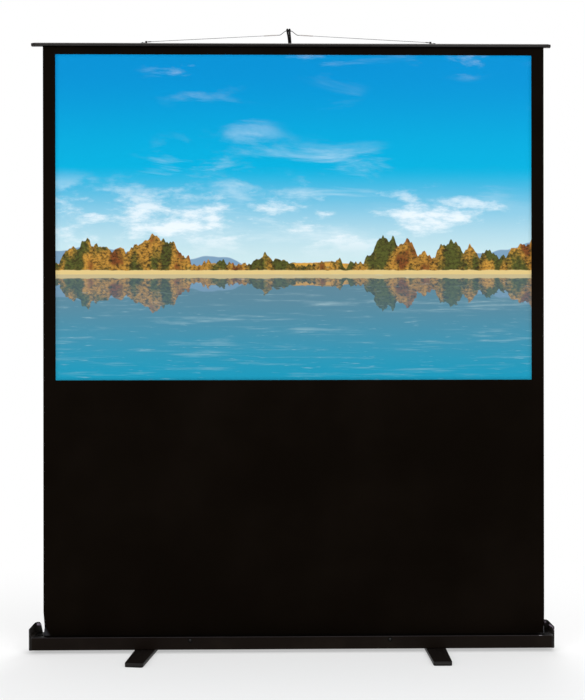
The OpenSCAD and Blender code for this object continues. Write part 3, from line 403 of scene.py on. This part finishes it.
def blackCloth(look):
    # black screen cloth, with a painted grey reflection at its lower left corner and a painted pale highlight along
    # the foot of its right edge
    material, wire, shader = newFinish("blackCloth", {"Specular IOR Level": look["specular"]})
    at = place(wire)
    x, z = parted(at)[::2]
    cloudy = noise(wire, at, *look["clouds"])
    speck = noise(wire, at, *look["specks"])
    patchy = speck + look["highlightLeast"]
    tone = blendColours(wire, step(cloudy, *look["clouded"]), look["black"], look["lighter"])
    tone = blendColours(wire, rise(speck, *look["dusty"]), tone, look["dust"])
    # painted reflection: a grey wedge at the lower left corner
    up = (z - look["sheenFoot"]) / look["sheenHigh"]
    paintedHighlight = (x - look["left"]) / look["sheenWide"] + up
    tone = blendColours(wire, (1 - step(paintedHighlight, *look["sheenFade"])) * patchy, tone, look["paintedSheen"])
    # painted highlight: a pale line along the foot of the right edge
    edge = step(x, look["right"] - look["edgeHighlightWide"], look["right"] - look["edgeHighlightWide"] * look["edgeHighlightSoft"])
    edge = edge * step(look["edgeHighlightTop"] - z, 0.0, look["edgeHighlightFade"])
    feed(shader, "Base Color", blendColours(wire, edge * patchy, tone, look["wearAndHighlight"]))
    feed(shader, "Roughness", look["roughness"] + (speck - 0.5) * look["spread"])
    feed(shader, "Normal", bump(wire, clothHeight(x, z, look["pitch"]), look["relief"]))
    return material


finishes["blackCloth"] = blackCloth(clothLook)

# a made-up lake shore in autumn, drawn only with noise: sky, two hill lines, woods, reeds and water
viewLook = {
    "shore": 0.325,
    "skyTop": tint(0, 140, 204), "skyMiddle": tint(0, 172, 216), "skyLow": tint(204, 228, 232),
    "cloud": tint(240, 246, 250), "farHills": tint(122, 156, 184), "nearHills": tint(104, 112, 84),
    "gold": tint(214, 158, 66), "russet": tint(148, 84, 42), "olive": tint(92, 98, 44),
    "trunkShade": tint(52, 40, 26), "reeds": tint(222, 196, 132),
    "waterDeep": tint(92, 132, 150), "waterPale": tint(24, 150, 184), "aspect": 1.4646,
    "skyRise": (0.60, 0.98), "hazeRise": (0.33, 0.66),
    # noise over the picture: stretch across, stretch up, seed, scale, detail, roughness
    "patch": (0.9, 1.4, 4.0, 1.9, 2.0), "puffs": (2.0, 5.2, 9.0, 2.4, 6.0, 0.62),
    "slope": (6.0, 26.0, 0.0, 2.0, 5.0, 0.6), "leaves": (30.0, 38.0, 2.0, 3.4, 6.0, 0.72),
    "kinds": (9.0, 5.0, 7.0, 1.7, 3.0), "streak": (3.0, 46.0, 3.0, 1.5, 5.0, 0.6),
    "broken": (14.0, 120.0, 6.0, 1.2, 3.0, 0.6),
    # noise along the shore: seed, scale, detail, roughness
    "farRidge": (3.7, 1.7, 4.0), "nearRidge": (8.4, 2.6, 5.0), "crowns": (1.6, 34.0, 2.0, 0.6),
    "stands": (5.1, 3.3, 2.0),
    # thin clouds: stretch across, lean, stretch up; then scale, detail, roughness, distortion
    "wispRun": (1.3, 0.9, 5.0), "wisps": (2.1, 6.0, 0.58, 0.5),
    # where each shows: from, to, and for some its most
    "wispCover": (0.50, 0.78), "patchCover": (0.42, 0.62), "puffCover": (0.50, 0.68), "puffsFrom": (0.36, 0.46),
    "puffsTo": (0.50, 0.66), "hillGold": (0.4, 0.62), "standGrowth": (0.42, 0.66), "goldShare": (0.42, 0.56),
    "russetShare": (0.58, 0.68), "leafLight": (0.34, 0.62, 0.75), "crownLight": (0.40, 0.72, 0.25),
    "waterDepth": (0.02, 0.34), "glints": (0.52, 0.76, 0.55), "mirrorFade": (0.0, 0.30, 0.35),
    "sparks": (0.60, 0.80, 0.25),
    "wispMost": 0.75, "puffMost": 0.85, "ridgeFoot": 0.32, "farHeight": 0.30, "nearHeight": 0.17, "crownFoot": 0.3,
    "treeRise": 0.105, "standRise": 0.085, "treeFoot": 0.016, "reedRise": 0.008, "reedFoot": 0.010,
    "kindMix": 0.18, "farSoft": 0.004, "nearSoft": 0.003, "treeSoft": 0.003, "reedSoft": 0.002,
    "shoreSoft": 0.0008, "streakSway": 0.020, "chopSway": 0.012, "mirrorSway": 0.9, "mirrorStretch": 1.05,
    "mirrorChop": 0.010, "mirrorLeast": 0.30, "specular": 0.05, "grain": 1500.0, "roughness": 0.62,
    "spread": 0.08, "relief": 0.00003,
}


def overPicture(wire, u, v, across, up, seed, *numbers):
    return noise(wire, joined(wire, u * across, v * up, seed), *numbers)


def alongShore(wire, u, seed, *numbers):
    return noise(wire, joined(wire, u, seed), *numbers)


def drawSky(wire, look, u, v):
    base = blendColours(wire, step(v, *look["skyRise"]), look["skyMiddle"], look["skyTop"])
    sky = blendColours(wire, step(v, *look["hazeRise"]), look["skyLow"], base)
    across, lean, up = look["wispRun"]
    wisps = noise(wire, joined(wire, u * across + v * lean, v * up), *look["wisps"])
    patch = overPicture(wire, u, v, *look["patch"])
    wispy = step(wisps, *look["wispCover"]) * step(patch, *look["patchCover"])
    puffs = overPicture(wire, u, v, *look["puffs"])
    low = step(puffs, *look["puffCover"]) * step(v, *look["puffsFrom"]) * (1 - step(v, *look["puffsTo"]))
    clouds = (wispy * look["wispMost"]).atLeast(low * look["puffMost"])
    return blendColours(wire, clouds, sky, look["cloud"])


def drawLand(wire, look, u, up, colour):
    # up is the height above the shore line; colour is what lies behind
    far = (alongShore(wire, u, *look["farRidge"]) - look["ridgeFoot"]) * look["farHeight"]
    colour = blendColours(wire, step(far - up, 0.0, look["farSoft"]), colour, look["farHills"])
    near = (alongShore(wire, u, *look["nearRidge"]) - look["ridgeFoot"]) * look["nearHeight"]
    slope = overPicture(wire, u, up, *look["slope"])
    hills = blendColours(wire, step(slope, *look["hillGold"]), look["nearHills"], look["gold"])
    colour = blendColours(wire, step(near - up, 0.0, look["nearSoft"]), colour, hills)
    crowns = alongShore(wire, u, *look["crowns"])
    stands = step(alongShore(wire, u, *look["stands"]), *look["standGrowth"])
    trees = (crowns - look["crownFoot"]) * look["treeRise"] + stands * look["standRise"] + look["treeFoot"]
    leaves = overPicture(wire, u, up, *look["leaves"])
    kinds = overPicture(wire, u, up, *look["kinds"]) + (leaves - 0.5) * look["kindMix"]
    wood = blendColours(wire, step(kinds, *look["goldShare"]), look["olive"], look["gold"])
    wood = blendColours(wire, step(kinds, *look["russetShare"]), wood, look["russet"])
    lit = rise(leaves, *look["leafLight"]) + rise(crowns, *look["crownLight"])
    wood = blendColours(wire, lit, look["trunkShade"], wood)
    colour = blendColours(wire, step(trees - up, 0.0, look["treeSoft"]), colour, wood)
    reedTop = look["reedFoot"] + crowns * look["reedRise"]
    return blendColours(wire, step(reedTop - up, 0.0, look["reedSoft"]), colour, look["reeds"])


def drawView(look):
    material, wire, shader = newFinish("picturedSurface", {"Specular IOR Level": look["specular"]})
    across, v = parted(place(wire, "UV"))[:2]
    u = across * look["aspect"]
    shore = look["shore"]
    above = drawLand(wire, look, u, v - shore, drawSky(wire, look, u, v))
    down = shore - v
    streak = overPicture(wire, u, v, *look["streak"])
    broken = overPicture(wire, u, v, *look["broken"])
    sway = (streak - 0.5) * look["streakSway"] + (broken - 0.5) * look["chopSway"]
    mirrorU = u + sway * look["mirrorSway"]
    mirrorUp = down * look["mirrorStretch"] + (broken - 0.5) * look["mirrorChop"]
    skyBelow = blendColours(wire, step(down, *look["waterDepth"]), look["waterDeep"], look["waterPale"])
    waterBase = blendColours(wire, rise(streak, *look["glints"]), skyBelow, look["skyLow"])
    mirrored = drawLand(wire, look, mirrorU, mirrorUp, waterBase)
    water = blendColours(wire, look["mirrorLeast"] + rise(down, *look["mirrorFade"]), mirrored, skyBelow)
    water = blendColours(wire, rise(broken, *look["sparks"]), water, look["skyLow"])
    colour = blendColours(wire, step(v, shore - look["shoreSoft"], shore + look["shoreSoft"]), water, above)
    feed(shader, "Base Color", colour)
    grain = fineGrain(wire, place(wire), look)
    feed(shader, "Roughness", look["roughness"] + (grain - 0.5) * look["spread"])
    feed(shader, "Normal", bump(wire, grain, look["relief"]))
    return material


finishes["picturedSurface"] = drawView(viewLook)
print("finishes mixed")


def newPiece(name, mesh, finish, body, slot, *stoodFor):
    piece = bpy.data.objects.new(name, mesh)
    bpy.context.scene.collection.objects.link(piece)
    mesh.materials.clear()
    mesh.materials.append(finishes[finish])
    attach(piece, body)
    if stoodFor:
        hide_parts(*stoodFor)
    return piece


def keepMesh(shape, name, smooth=True):
    mesh = bpy.data.meshes.new(name)
    for face in shape.faces:
        face.smooth = smooth
    shape.to_mesh(mesh)
    shape.free()
    return mesh


easing = {"merge": 0.00001, "flatWithin": 0.4, "sharpFrom": 32.0, "segments": 2}


def easedNode(node, finish, slot, width):
    # the node's own form, its edges rounded as a moulded or painted piece has them
    shape = bmesh.new()
    shape.from_mesh(nodes[node].data)
    bmesh.ops.remove_doubles(shape, verts=shape.verts, dist=easing["merge"])
    bmesh.ops.dissolve_limit(shape, angle_limit=math.radians(easing["flatWithin"]), verts=shape.verts,
                             edges=shape.edges)
    mesh = keepMesh(shape, node + "_eased")
    piece = newPiece(node + "_eased", mesh, finish, bodyOf[node], slot, node)
    bevel = piece.modifiers.new("easedEdges", "BEVEL")
    bevel.width = width
    bevel.segments = easing["segments"]
    bevel.limit_method = "ANGLE"
    bevel.angle_limit = math.radians(easing["sharpFrom"])
    bevel.harden_normals = True


easedPieces = {
    # node: (finish, record slot, width of the rounding)
    "end_cap_left": ("endCapPlastic", "cap_black", 0.0010),
    "end_cap_right": ("endCapPlastic", "cap_black", 0.0010),
    "top_rail": ("railPaint", "casing_black", 0.0003),
    "rail_tip_left": ("capPlastic", "cap_black", 0.0012),
    "rail_tip_right": ("capPlastic", "cap_black", 0.0012),
    "foot_left_bar": ("footPaint", "casing_black", 0.0008),
    "foot_right_bar": ("footPaint", "casing_black", 0.0008),
    "foot_left_pads": ("padRubber", "pad_rubber", 0.0006),
    "foot_right_pads": ("padRubber", "pad_rubber", 0.0006),
    "pole_bracket": ("casingPaint", "casing_black", 0.0005),
    "pole_clip": ("softPlastic", "cap_black", 0.0004),
    "pole_knuckle": ("softPlastic", "cap_black", 0.0006),
    "lower_collar": ("softPlastic", "cap_black", 0.0006),
    "upper_collar": ("softPlastic", "cap_black", 0.0006),
    "lower_clamp_lever": ("softPlastic", "cap_black", 0.0009),
    "upper_clamp_lever": ("softPlastic", "cap_black", 0.0009),
    "hook_plug": ("softPlastic", "cap_black", 0.0006),
    "anchor_left": ("screwBlack", "zinc_steel", 0.0002),
    "anchor_right": ("screwBlack", "zinc_steel", 0.0002),
}
for node, (finish, slot, width) in easedPieces.items():
    easedNode(node, finish, slot, width)
print("eased pieces made")

# the other CAD nodes keep their mesh and get a finish
cadFinishes = {
    "shellPaint": ["casing_shell"],
    "screwBlack": ["front_screws", "anchor_screws", "cable_ferrules"],
    "zincSteel": [
        "end_cap_screws", "spring_bracket", "idle_bracket", "spring_shaft", "foot_plates", "foot_bolts",
        "bracket_screws", "pole_hinge_bolt", "pole_hinge_nut", "clip_screws", "hem_rod", "lower_lever_pin",
        "upper_lever_pin",
    ],
    "tubeAluminium": ["roller_tube"],
    "slidePlastic": ["idle_bush", "foot_washers", "middle_bush", "top_bush"],
    "innerPlastic": ["idle_plug", "spring_plug", "spring_grip", "fabric_spline", "roller_saddles"],
    "sleevePlastic": ["cable_sleeves"],
    "polePaint": ["pole_lower_tube", "pole_middle_tube", "pole_top_tube"],
}
for finish, group in cadFinishes.items():
    for node in group:
        for materialSlot in nodes[node].material_slots:
            materialSlot.material = finishes[finish]
        if not nodes[node].material_slots:
            nodes[node].data.materials.append(finishes[finish])

sheetShape = {
    "left": -0.9385, "right": 0.9555, "low": 0.0375, "high": 2.2828, "thick": 0.0003,
    "columns": 120, "rows": 140, "sag": 0.0014, "level": 0.5,
    "acrossWave": (0.3, 2.2), "upWave": (0.2, 5.0, 2.0),  # share of the sag, then half turns or radians
    "curl": 0.003, "curlWidth": 0.030, "curlHeight": 0.055, "curlDepth": 0.030, "curlAt": 0.090, "drawnIn": 0.0042,
}
coatShape = {
    "left": -0.8915, "right": 0.9085, "low": 1.020, "high": 2.249, "proud": 0.0001, "thick": 0.00009, "columns": 90,
    "rows": 80,
}


def sheetDepth(shape, x, z):
    # how far the hanging fabric lies behind its plane: long shallow waves, and lower corners that curl back
    middle = (shape["left"] + shape["right"]) / 2
    half = (shape["right"] - shape["left"]) / 2
    across = (x - middle) / half
    up = (z - shape["low"]) / (shape["high"] - shape["low"])
    (broad, halfTurns), (slanted, upward, sideways) = shape["acrossWave"], shape["upWave"]
    ripple = broad * math.cos(halfTurns * math.pi * across) + slanted * math.sin(upward * up + sideways * across)
    wave = shape["sag"] * math.sin(math.pi * up) * (shape["level"] + ripple)
    edge = max(0.0, 1 - (half - abs(x - middle)) / shape["curlWidth"])
    near = max(0.0, 1 - abs(z - shape["curlAt"]) / shape["curlHeight"])
    return wave + shape["curl"] * edge ** 2 * near ** 1.5


def drawnIn(shape, x, z):
    # the left edge runs in a little above the slot, where its corner curls
    edge = max(0.0, 1 - (x - shape["left"]) / shape["curlWidth"])
    reach = shape["curlHeight"] if z > shape["curlAt"] else shape["curlDepth"]
    near = max(0.0, 1 - abs(z - shape["curlAt"]) / reach)
    return shape["drawnIn"] * edge ** 2 * near


def gridSheet(shape, area, offset):
    grid = bmesh.new()
    bmesh.ops.create_grid(grid, x_segments=area["columns"], y_segments=area["rows"], size=0.5)
    layer = grid.loops.layers.uv.new("UVMap")
    for face in grid.faces:
        for corner in face.loops:
            corner[layer].uv = (corner.vert.co.x + 0.5, corner.vert.co.y + 0.5)
    for vert in grid.verts:
        x = area["left"] + (vert.co.x + 0.5) * (area["right"] - area["left"])
        z = area["low"] + (vert.co.y + 0.5) * (area["high"] - area["low"])
        vert.co = (x + drawnIn(shape, x, z), sheetDepth(shape, x, z) - offset, z)
    bmesh.ops.recalc_face_normals(grid, faces=grid.faces)
    if sum(face.normal.y for face in grid.faces) > 0:
        bmesh.ops.reverse_faces(grid, faces=grid.faces)
    return grid


def thicken(piece, thick, offset):
    solid = piece.modifiers.new("thickness", "SOLIDIFY")
    solid.thickness = thick
    solid.offset = offset


def makeFabric():
    half = sheetShape["thick"] / 2
    cloth = keepMesh(gridSheet(sheetShape, sheetShape, half), "fabric_sheet")
    sheet = newPiece("fabric_sheet", cloth, "blackCloth", "casing", "fabric_black", "screen_fabric")
    face = keepMesh(gridSheet(sheetShape, coatShape, half + coatShape["proud"]), "viewing_coat")
    coat = newPiece("viewing_coat", face, "picturedSurface", "casing", "screen_white", "viewing_surface")
    thicken(sheet, sheetShape["thick"], -1)
    thicken(coat, coatShape["thick"], -1)
    for piece in (sheet, coat):
        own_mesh(piece)


rollShape = {
    "y": -0.01385, "z": 0.0375, "inner": 0.01252, "outer": 0.0134, "turns": 3, "steps": 48, "thick": 0.00027,
}


def makeRoll(shape, area):
    # the turns of fabric that stay on the tube, wound as one spiral
    roll = bmesh.new()
    total = shape["turns"] * shape["steps"]
    spiral = []
    for k in range(total + 1):
        turn = math.tau * k / shape["steps"]
        reach = shape["inner"] + (shape["outer"] - shape["inner"]) * k / total
        spiral.append(roll.verts.new((area["left"], shape["y"] + reach * math.cos(turn),
                                      shape["z"] + reach * math.sin(turn))))
    edges = [roll.edges.new(pair) for pair in zip(spiral, spiral[1:])]
    drawn = bmesh.ops.extrude_edge_only(roll, edges=edges)["geom"]
    bmesh.ops.translate(roll, verts=[v for v in drawn if isinstance(v, bmesh.types.BMVert)],
                        vec=(area["right"] - area["left"], 0, 0))
    bmesh.ops.recalc_face_normals(roll, faces=roll.faces)
    mesh = keepMesh(roll, "fabric_roll")
    thicken(newPiece("fabric_roll", mesh, "blackCloth", "roller", "fabric_black", "fabric_turns"), shape["thick"], 0)


makeFabric()
makeRoll(rollShape, sheetShape)
print("fabric hung")


def sweptRod(name, points, radius, finish, body, slot, stoodFor, sides):
    curve = bpy.data.curves.new(name, "CURVE")
    curve.dimensions = "3D"
    curve.bevel_depth = radius
    curve.bevel_resolution = max(1, sides // 4 - 1)
    curve.use_fill_caps = True
    spline = curve.splines.new("POLY")
    spline.points.add(len(points) - 1)
    for point, target in zip(spline.points, points):
        point.co = (*target, 1.0)
    holder = bpy.data.objects.new(name, curve)
    bpy.context.scene.collection.objects.link(holder)
    bpy.context.view_layer.update()
    mesh = bpy.data.meshes.new_from_object(holder)
    bpy.data.objects.remove(holder)
    mesh.name = name
    for face in mesh.polygons:
        face.use_smooth = len(face.vertices) == 4
    return newPiece(name, mesh, finish, body, slot, *stoodFor)


def easedPath(corners, cut, steps=6):
    # straight runs joined by round corners, which take less than half of a short run
    corners = [Vector(c) for c in corners]
    path = [corners[0]]
    for before, corner, after in zip(corners, corners[1:], corners[2:]):
        reach = min(cut, (corner - before).length * 0.49, (after - corner).length * 0.49)
        start = corner + (before - corner).normalized() * reach
        end = corner + (after - corner).normalized() * reach
        for k in range(steps + 1):
            t = k / steps
            path.append(start * (1 - t) ** 2 + corner * 2 * t * (1 - t) + end * t * t)
    path.append(corners[-1])
    return path


springShape = {
    "start": -925.2, "length": 359.4, "radius": 7.5, "wire": 0.78, "y": -13.85, "z": 37.5, "pitch": 1.75,
    "steps": 12,
}


def makeSpring(shape):
    # the torsion spring round its shaft, turn against turn
    turns = shape["length"] / shape["pitch"]
    count = int(turns * shape["steps"])
    path = []
    for k in range(count + 1):
        turn = math.tau * k / shape["steps"]
        path.append(Vector((shape["start"] + shape["wire"] + (shape["length"] - 2 * shape["wire"]) * k / count,
                            shape["y"] + shape["radius"] * math.cos(turn),
                            shape["z"] + shape["radius"] * math.sin(turn))) * mm)
    sweptRod("spring_coil", path, shape["wire"] * mm, "springSteel", "casing", "spring_steel", ["torsion_spring"],
             sides=8)


makeSpring(springShape)

hangerShape = {
    "hookX": -11.8758, "wireY": 14.5, "wireZ": 2345, "bowHalf": 32, "bowHeight": 17, "bowFlat": 22, "tail": 10,
    "bowRadius": 1.25, "cableRadius": 0.9, "spread": 1090, "anchorLength": 24, "anchorZ": 2297, "gap": 0.3,
    "cornerCut": 0.007, "runSteps": 24,
}


def makeHanger(shape):
    # one thin cable from anchor to anchor, which runs on through the stiff bow
    reach = shape["bowHalf"] + shape["tail"]
    z, low = shape["wireZ"], shape["wireZ"] - shape["bowHeight"]
    corners = [(-reach, low), (-shape["bowHalf"], low), (-shape["bowFlat"] / 2, z), (shape["bowFlat"] / 2, z),
               (shape["bowHalf"], low), (reach, low)]
    corners = [Vector((shape["hookX"] + x, shape["wireY"], height)) * mm for x, height in corners]
    bowPath = easedPath(corners, shape["cornerCut"])
    bow = sweptRod("hanger_bow_wire", bowPath, mm * shape["bowRadius"], "bowSteel", "top_bar", "spring_steel",
                   ["hanger_bow"], sides=16)
    out = shape["spread"] / 2 - shape["anchorLength"] / 2 - shape["gap"]
    starts = [Vector((shape["hookX"] + side * out, 0, shape["anchorZ"])) * mm for side in (-1, 1)]
    steps = shape["runSteps"]
    path = [starts[0].lerp(bowPath[0], k / steps) for k in range(steps)] + bowPath
    path += [bowPath[-1].lerp(starts[1], k / steps) for k in range(1, steps + 1)]
    cable = sweptRod("hanger_cable_wire", path, mm * shape["cableRadius"], "cableSteel", "top_bar", "cable_steel",
                     ["hanger_cable_left", "hanger_cable_right"], sides=12)
    length = sum((after - before).length for before, after in zip(path, path[1:]))
    print("hanger cable", round(length, 4), "m")


makeHanger(hangerShape)

hookShape = {
    "poleX": -3, "poleY": 58.5, "baseZ": 2277.58, "hold": 20, "length": 68, "tipRise": 7, "bend": 4.25, "lean": 7.5,
    "rodRadius": 2.7, "neckWider": 1.2, "tipWider": 1.42, "rodPitch": 6.6, "tipPitch": 8.4, "wireY": 14.5,
    "forwardAt": 12, "neckBelow": 24, "saddleAbove": 2, "bendPlay": 0.05, "bendSteps": 8,
}


def makeHook(shape):
    # two rods that come forward from the pole, go under the wire's bow and up in front of it
    frontY, middleY, neckY = (shape["wireY"] + k * shape["bend"] for k in (-1, 1, 3))
    over = shape["length"] + shape["saddleAbove"] + shape["bend"]
    under = shape["length"] - shape["bend"]
    run = [
        (shape["poleY"], shape["forwardAt"], shape["rodPitch"]),
        (neckY, shape["length"] - shape["neckBelow"], shape["rodPitch"]),
        (neckY, over, shape["tipPitch"]), (middleY, over, shape["tipPitch"]), (middleY, under, shape["tipPitch"]),
        (frontY, under, shape["tipPitch"]), (frontY, shape["length"] + shape["tipRise"], shape["tipPitch"]),
    ]
    lean = math.radians(shape["lean"])
    rods = []
    for side in (-0.5, 0.5):
        corners = [(side * shape["rodPitch"], shape["poleY"], z) for z in (-shape["hold"], 0)]
        corners += [(side * pitch - along * math.sin(lean), y, along * math.cos(lean)) for y, along, pitch in run]
        corners = [(Vector(c) + Vector((shape["poleX"], 0, shape["baseZ"]))) * mm for c in corners]
        rods.append(easedPath(corners, (shape["bend"] - shape["bendPlay"]) * mm, shape["bendSteps"]))
    return rods


def domedRod(path, radius, wider, sides=16, rings=5):
    # a rod swept along a path, wider than deep by wider(point), its far tip rounded like a ball
    shape = bmesh.new()
    way = [(point, radius) for point in path]
    ahead = (path[-1] - path[-2]).normalized()
    for k in range(1, rings):
        turn = math.pi / 2 * k / rings
        way.append((path[-1] - ahead * radius * (1 - math.sin(turn)), radius * math.cos(turn)))
    way[len(path) - 1] = (path[-1] - ahead * radius, radius)
    loops = []
    for k, (point, reach) in enumerate(way):
        before, after = way[max(k - 1, 0)][0], way[min(k + 1, len(way) - 1)][0]
        along = (after - before).normalized()
        side = along.cross(Vector((1, 0, 0))).normalized()
        across = (Vector((1, 0, 0)) - along * along.x) * wider(point)
        turned = Matrix((across, side, along)).transposed().to_4x4()
        turned.translation = point
        ring = bmesh.ops.create_circle(shape, segments=sides, radius=reach, matrix=turned)
        loops.append(ring["verts"])
    for first, second in zip(loops, loops[1:]):
        edges = [e for e in shape.edges if all(v in first for v in e.verts) or all(v in second for v in e.verts)]
        bmesh.ops.bridge_loops(shape, edges=edges)
    for loop in (loops[0], loops[-1]):
        bmesh.ops.contextual_create(shape, geom=loop)
    bmesh.ops.recalc_face_normals(shape, faces=shape.faces)
    return shape


def makeHookRods(shape):
    def wider(point):
        # widens over the lowest quarter of the rods to the neck's width, and over the upper half to the tips'
        up = (point.z / mm - shape["baseZ"]) / shape["length"]
        share = min(1.0, max(0.0, up * 4))
        tip = min(1.0, max(0.0, up * 2 - 1))
        return 1 + share * (shape["neckWider"] - 1) + tip * (shape["tipWider"] - shape["neckWider"])

    whole = bmesh.new()
    for path in makeHook(shape):
        rod = domedRod(path, shape["rodRadius"] * mm, wider)
        mesh = keepMesh(rod, "rod")
        whole.from_mesh(mesh)
        bpy.data.meshes.remove(mesh)
    newPiece("hook_rods", keepMesh(whole, "hook_rods"), "hookBlack", "pole_top", "cap_black", "hanger_hook")


makeHookRods(hookShape)
print("hanger made")

stageLook = {
    "half": 9.0, "standHalf": 0.95, "clearFrom": 0.25, "clearTo": 1.5, "nearShare": 0.45, "worldStrength": 0.55,
    "floor": {"Base Color": (0.93, 0.93, 0.93, 1.0), "Specular IOR Level": 0.0, "Roughness": 0.9},
}


def seenAsWhite(wire):
    # 1 for rays from the camera, a mirror or glass, to which the surroundings are plain white
    rays = outlets(wire.node("ShaderNodeLightPath"), ["Is Camera Ray", "Is Glossy Ray", "Is Transmission Ray"])
    return (rays[0] + rays[1] + rays[2]).atMost(1.0)


def makeFloor(look):
    shape = bmesh.new()
    bmesh.ops.create_grid(shape, x_segments=2, y_segments=2, size=look["half"])
    mesh = keepMesh(shape, "floor", False)
    material, wire, shader = newFinish("paleFloor", look["floor"])
    x, y = parted(place(wire))[:2]
    beyond = (x.absolute() - look["standHalf"]).atLeast(0.0)
    away = (beyond * beyond + y * y).root()
    white = wire.node("ShaderNodeEmission", {}, {"Color": (1, 1, 1, 1), "Strength": 1.0})
    share = look["nearShare"] + step(away, look["clearFrom"], look["clearTo"]) * (1 - look["nearShare"])
    share = share * seenAsWhite(wire)
    mixed = wire.node("ShaderNodeMixShader", {}, {0: share})
    tree = wire.tree
    tree.links.new(shader.outputs[0], mixed.socket.node.inputs[1])
    tree.links.new(white.socket, mixed.socket.node.inputs[2])
    tree.links.new(mixed.socket, tree.nodes["Material Output"].inputs["Surface"])
    floor = bpy.data.objects.new("floor", mesh)
    mesh.materials.append(material)
    bpy.context.scene.collection.objects.link(floor)


def makeWorld(strength):
    world = bpy.data.worlds.new("studio")
    bpy.context.scene.world = world
    world.use_nodes = True
    background = world.node_tree.nodes["Background"]
    background.inputs["Color"].default_value = (1, 1, 1, 1)
    feed(background, "Strength", strength + seenAsWhite(Wire(world.node_tree)) * (1 - strength))


lampLook = [
    # name, place, aim, size, watts
    ("keyLamp", (2.3, -3.2, 3.6), (0, 0, 1.1), 2.2, 70),
    ("fillLamp", (-2.6, -2.8, 2.4), (0, 0, 1.1), 2.2, 40),
    ("topLamp", (0.0, 0.4, 4.4), (0, 0, 1.0), 2.6, 45),
    ("backLamp", (0.8, 3.4, 2.8), (0, 0, 1.1), 2.2, 60),
]


def makeLamps(lamps):
    for name, spot, aim, size, watts in lamps:
        data = bpy.data.lights.new(name, "AREA")
        data.shape = "SQUARE"
        data.size = size
        data.energy = watts
        lamp = bpy.data.objects.new(name, data)
        lamp.location = spot
        lamp.rotation_mode = "QUATERNION"
        lamp.rotation_quaternion = (Vector(aim) - Vector(spot)).to_track_quat("-Z", "Y")
        bpy.context.scene.collection.objects.link(lamp)


makeFloor(stageLook)
makeWorld(stageLook["worldStrength"])
makeLamps(lampLook)
bpy.context.scene.view_settings.view_transform = "Standard"
print("stage lit")
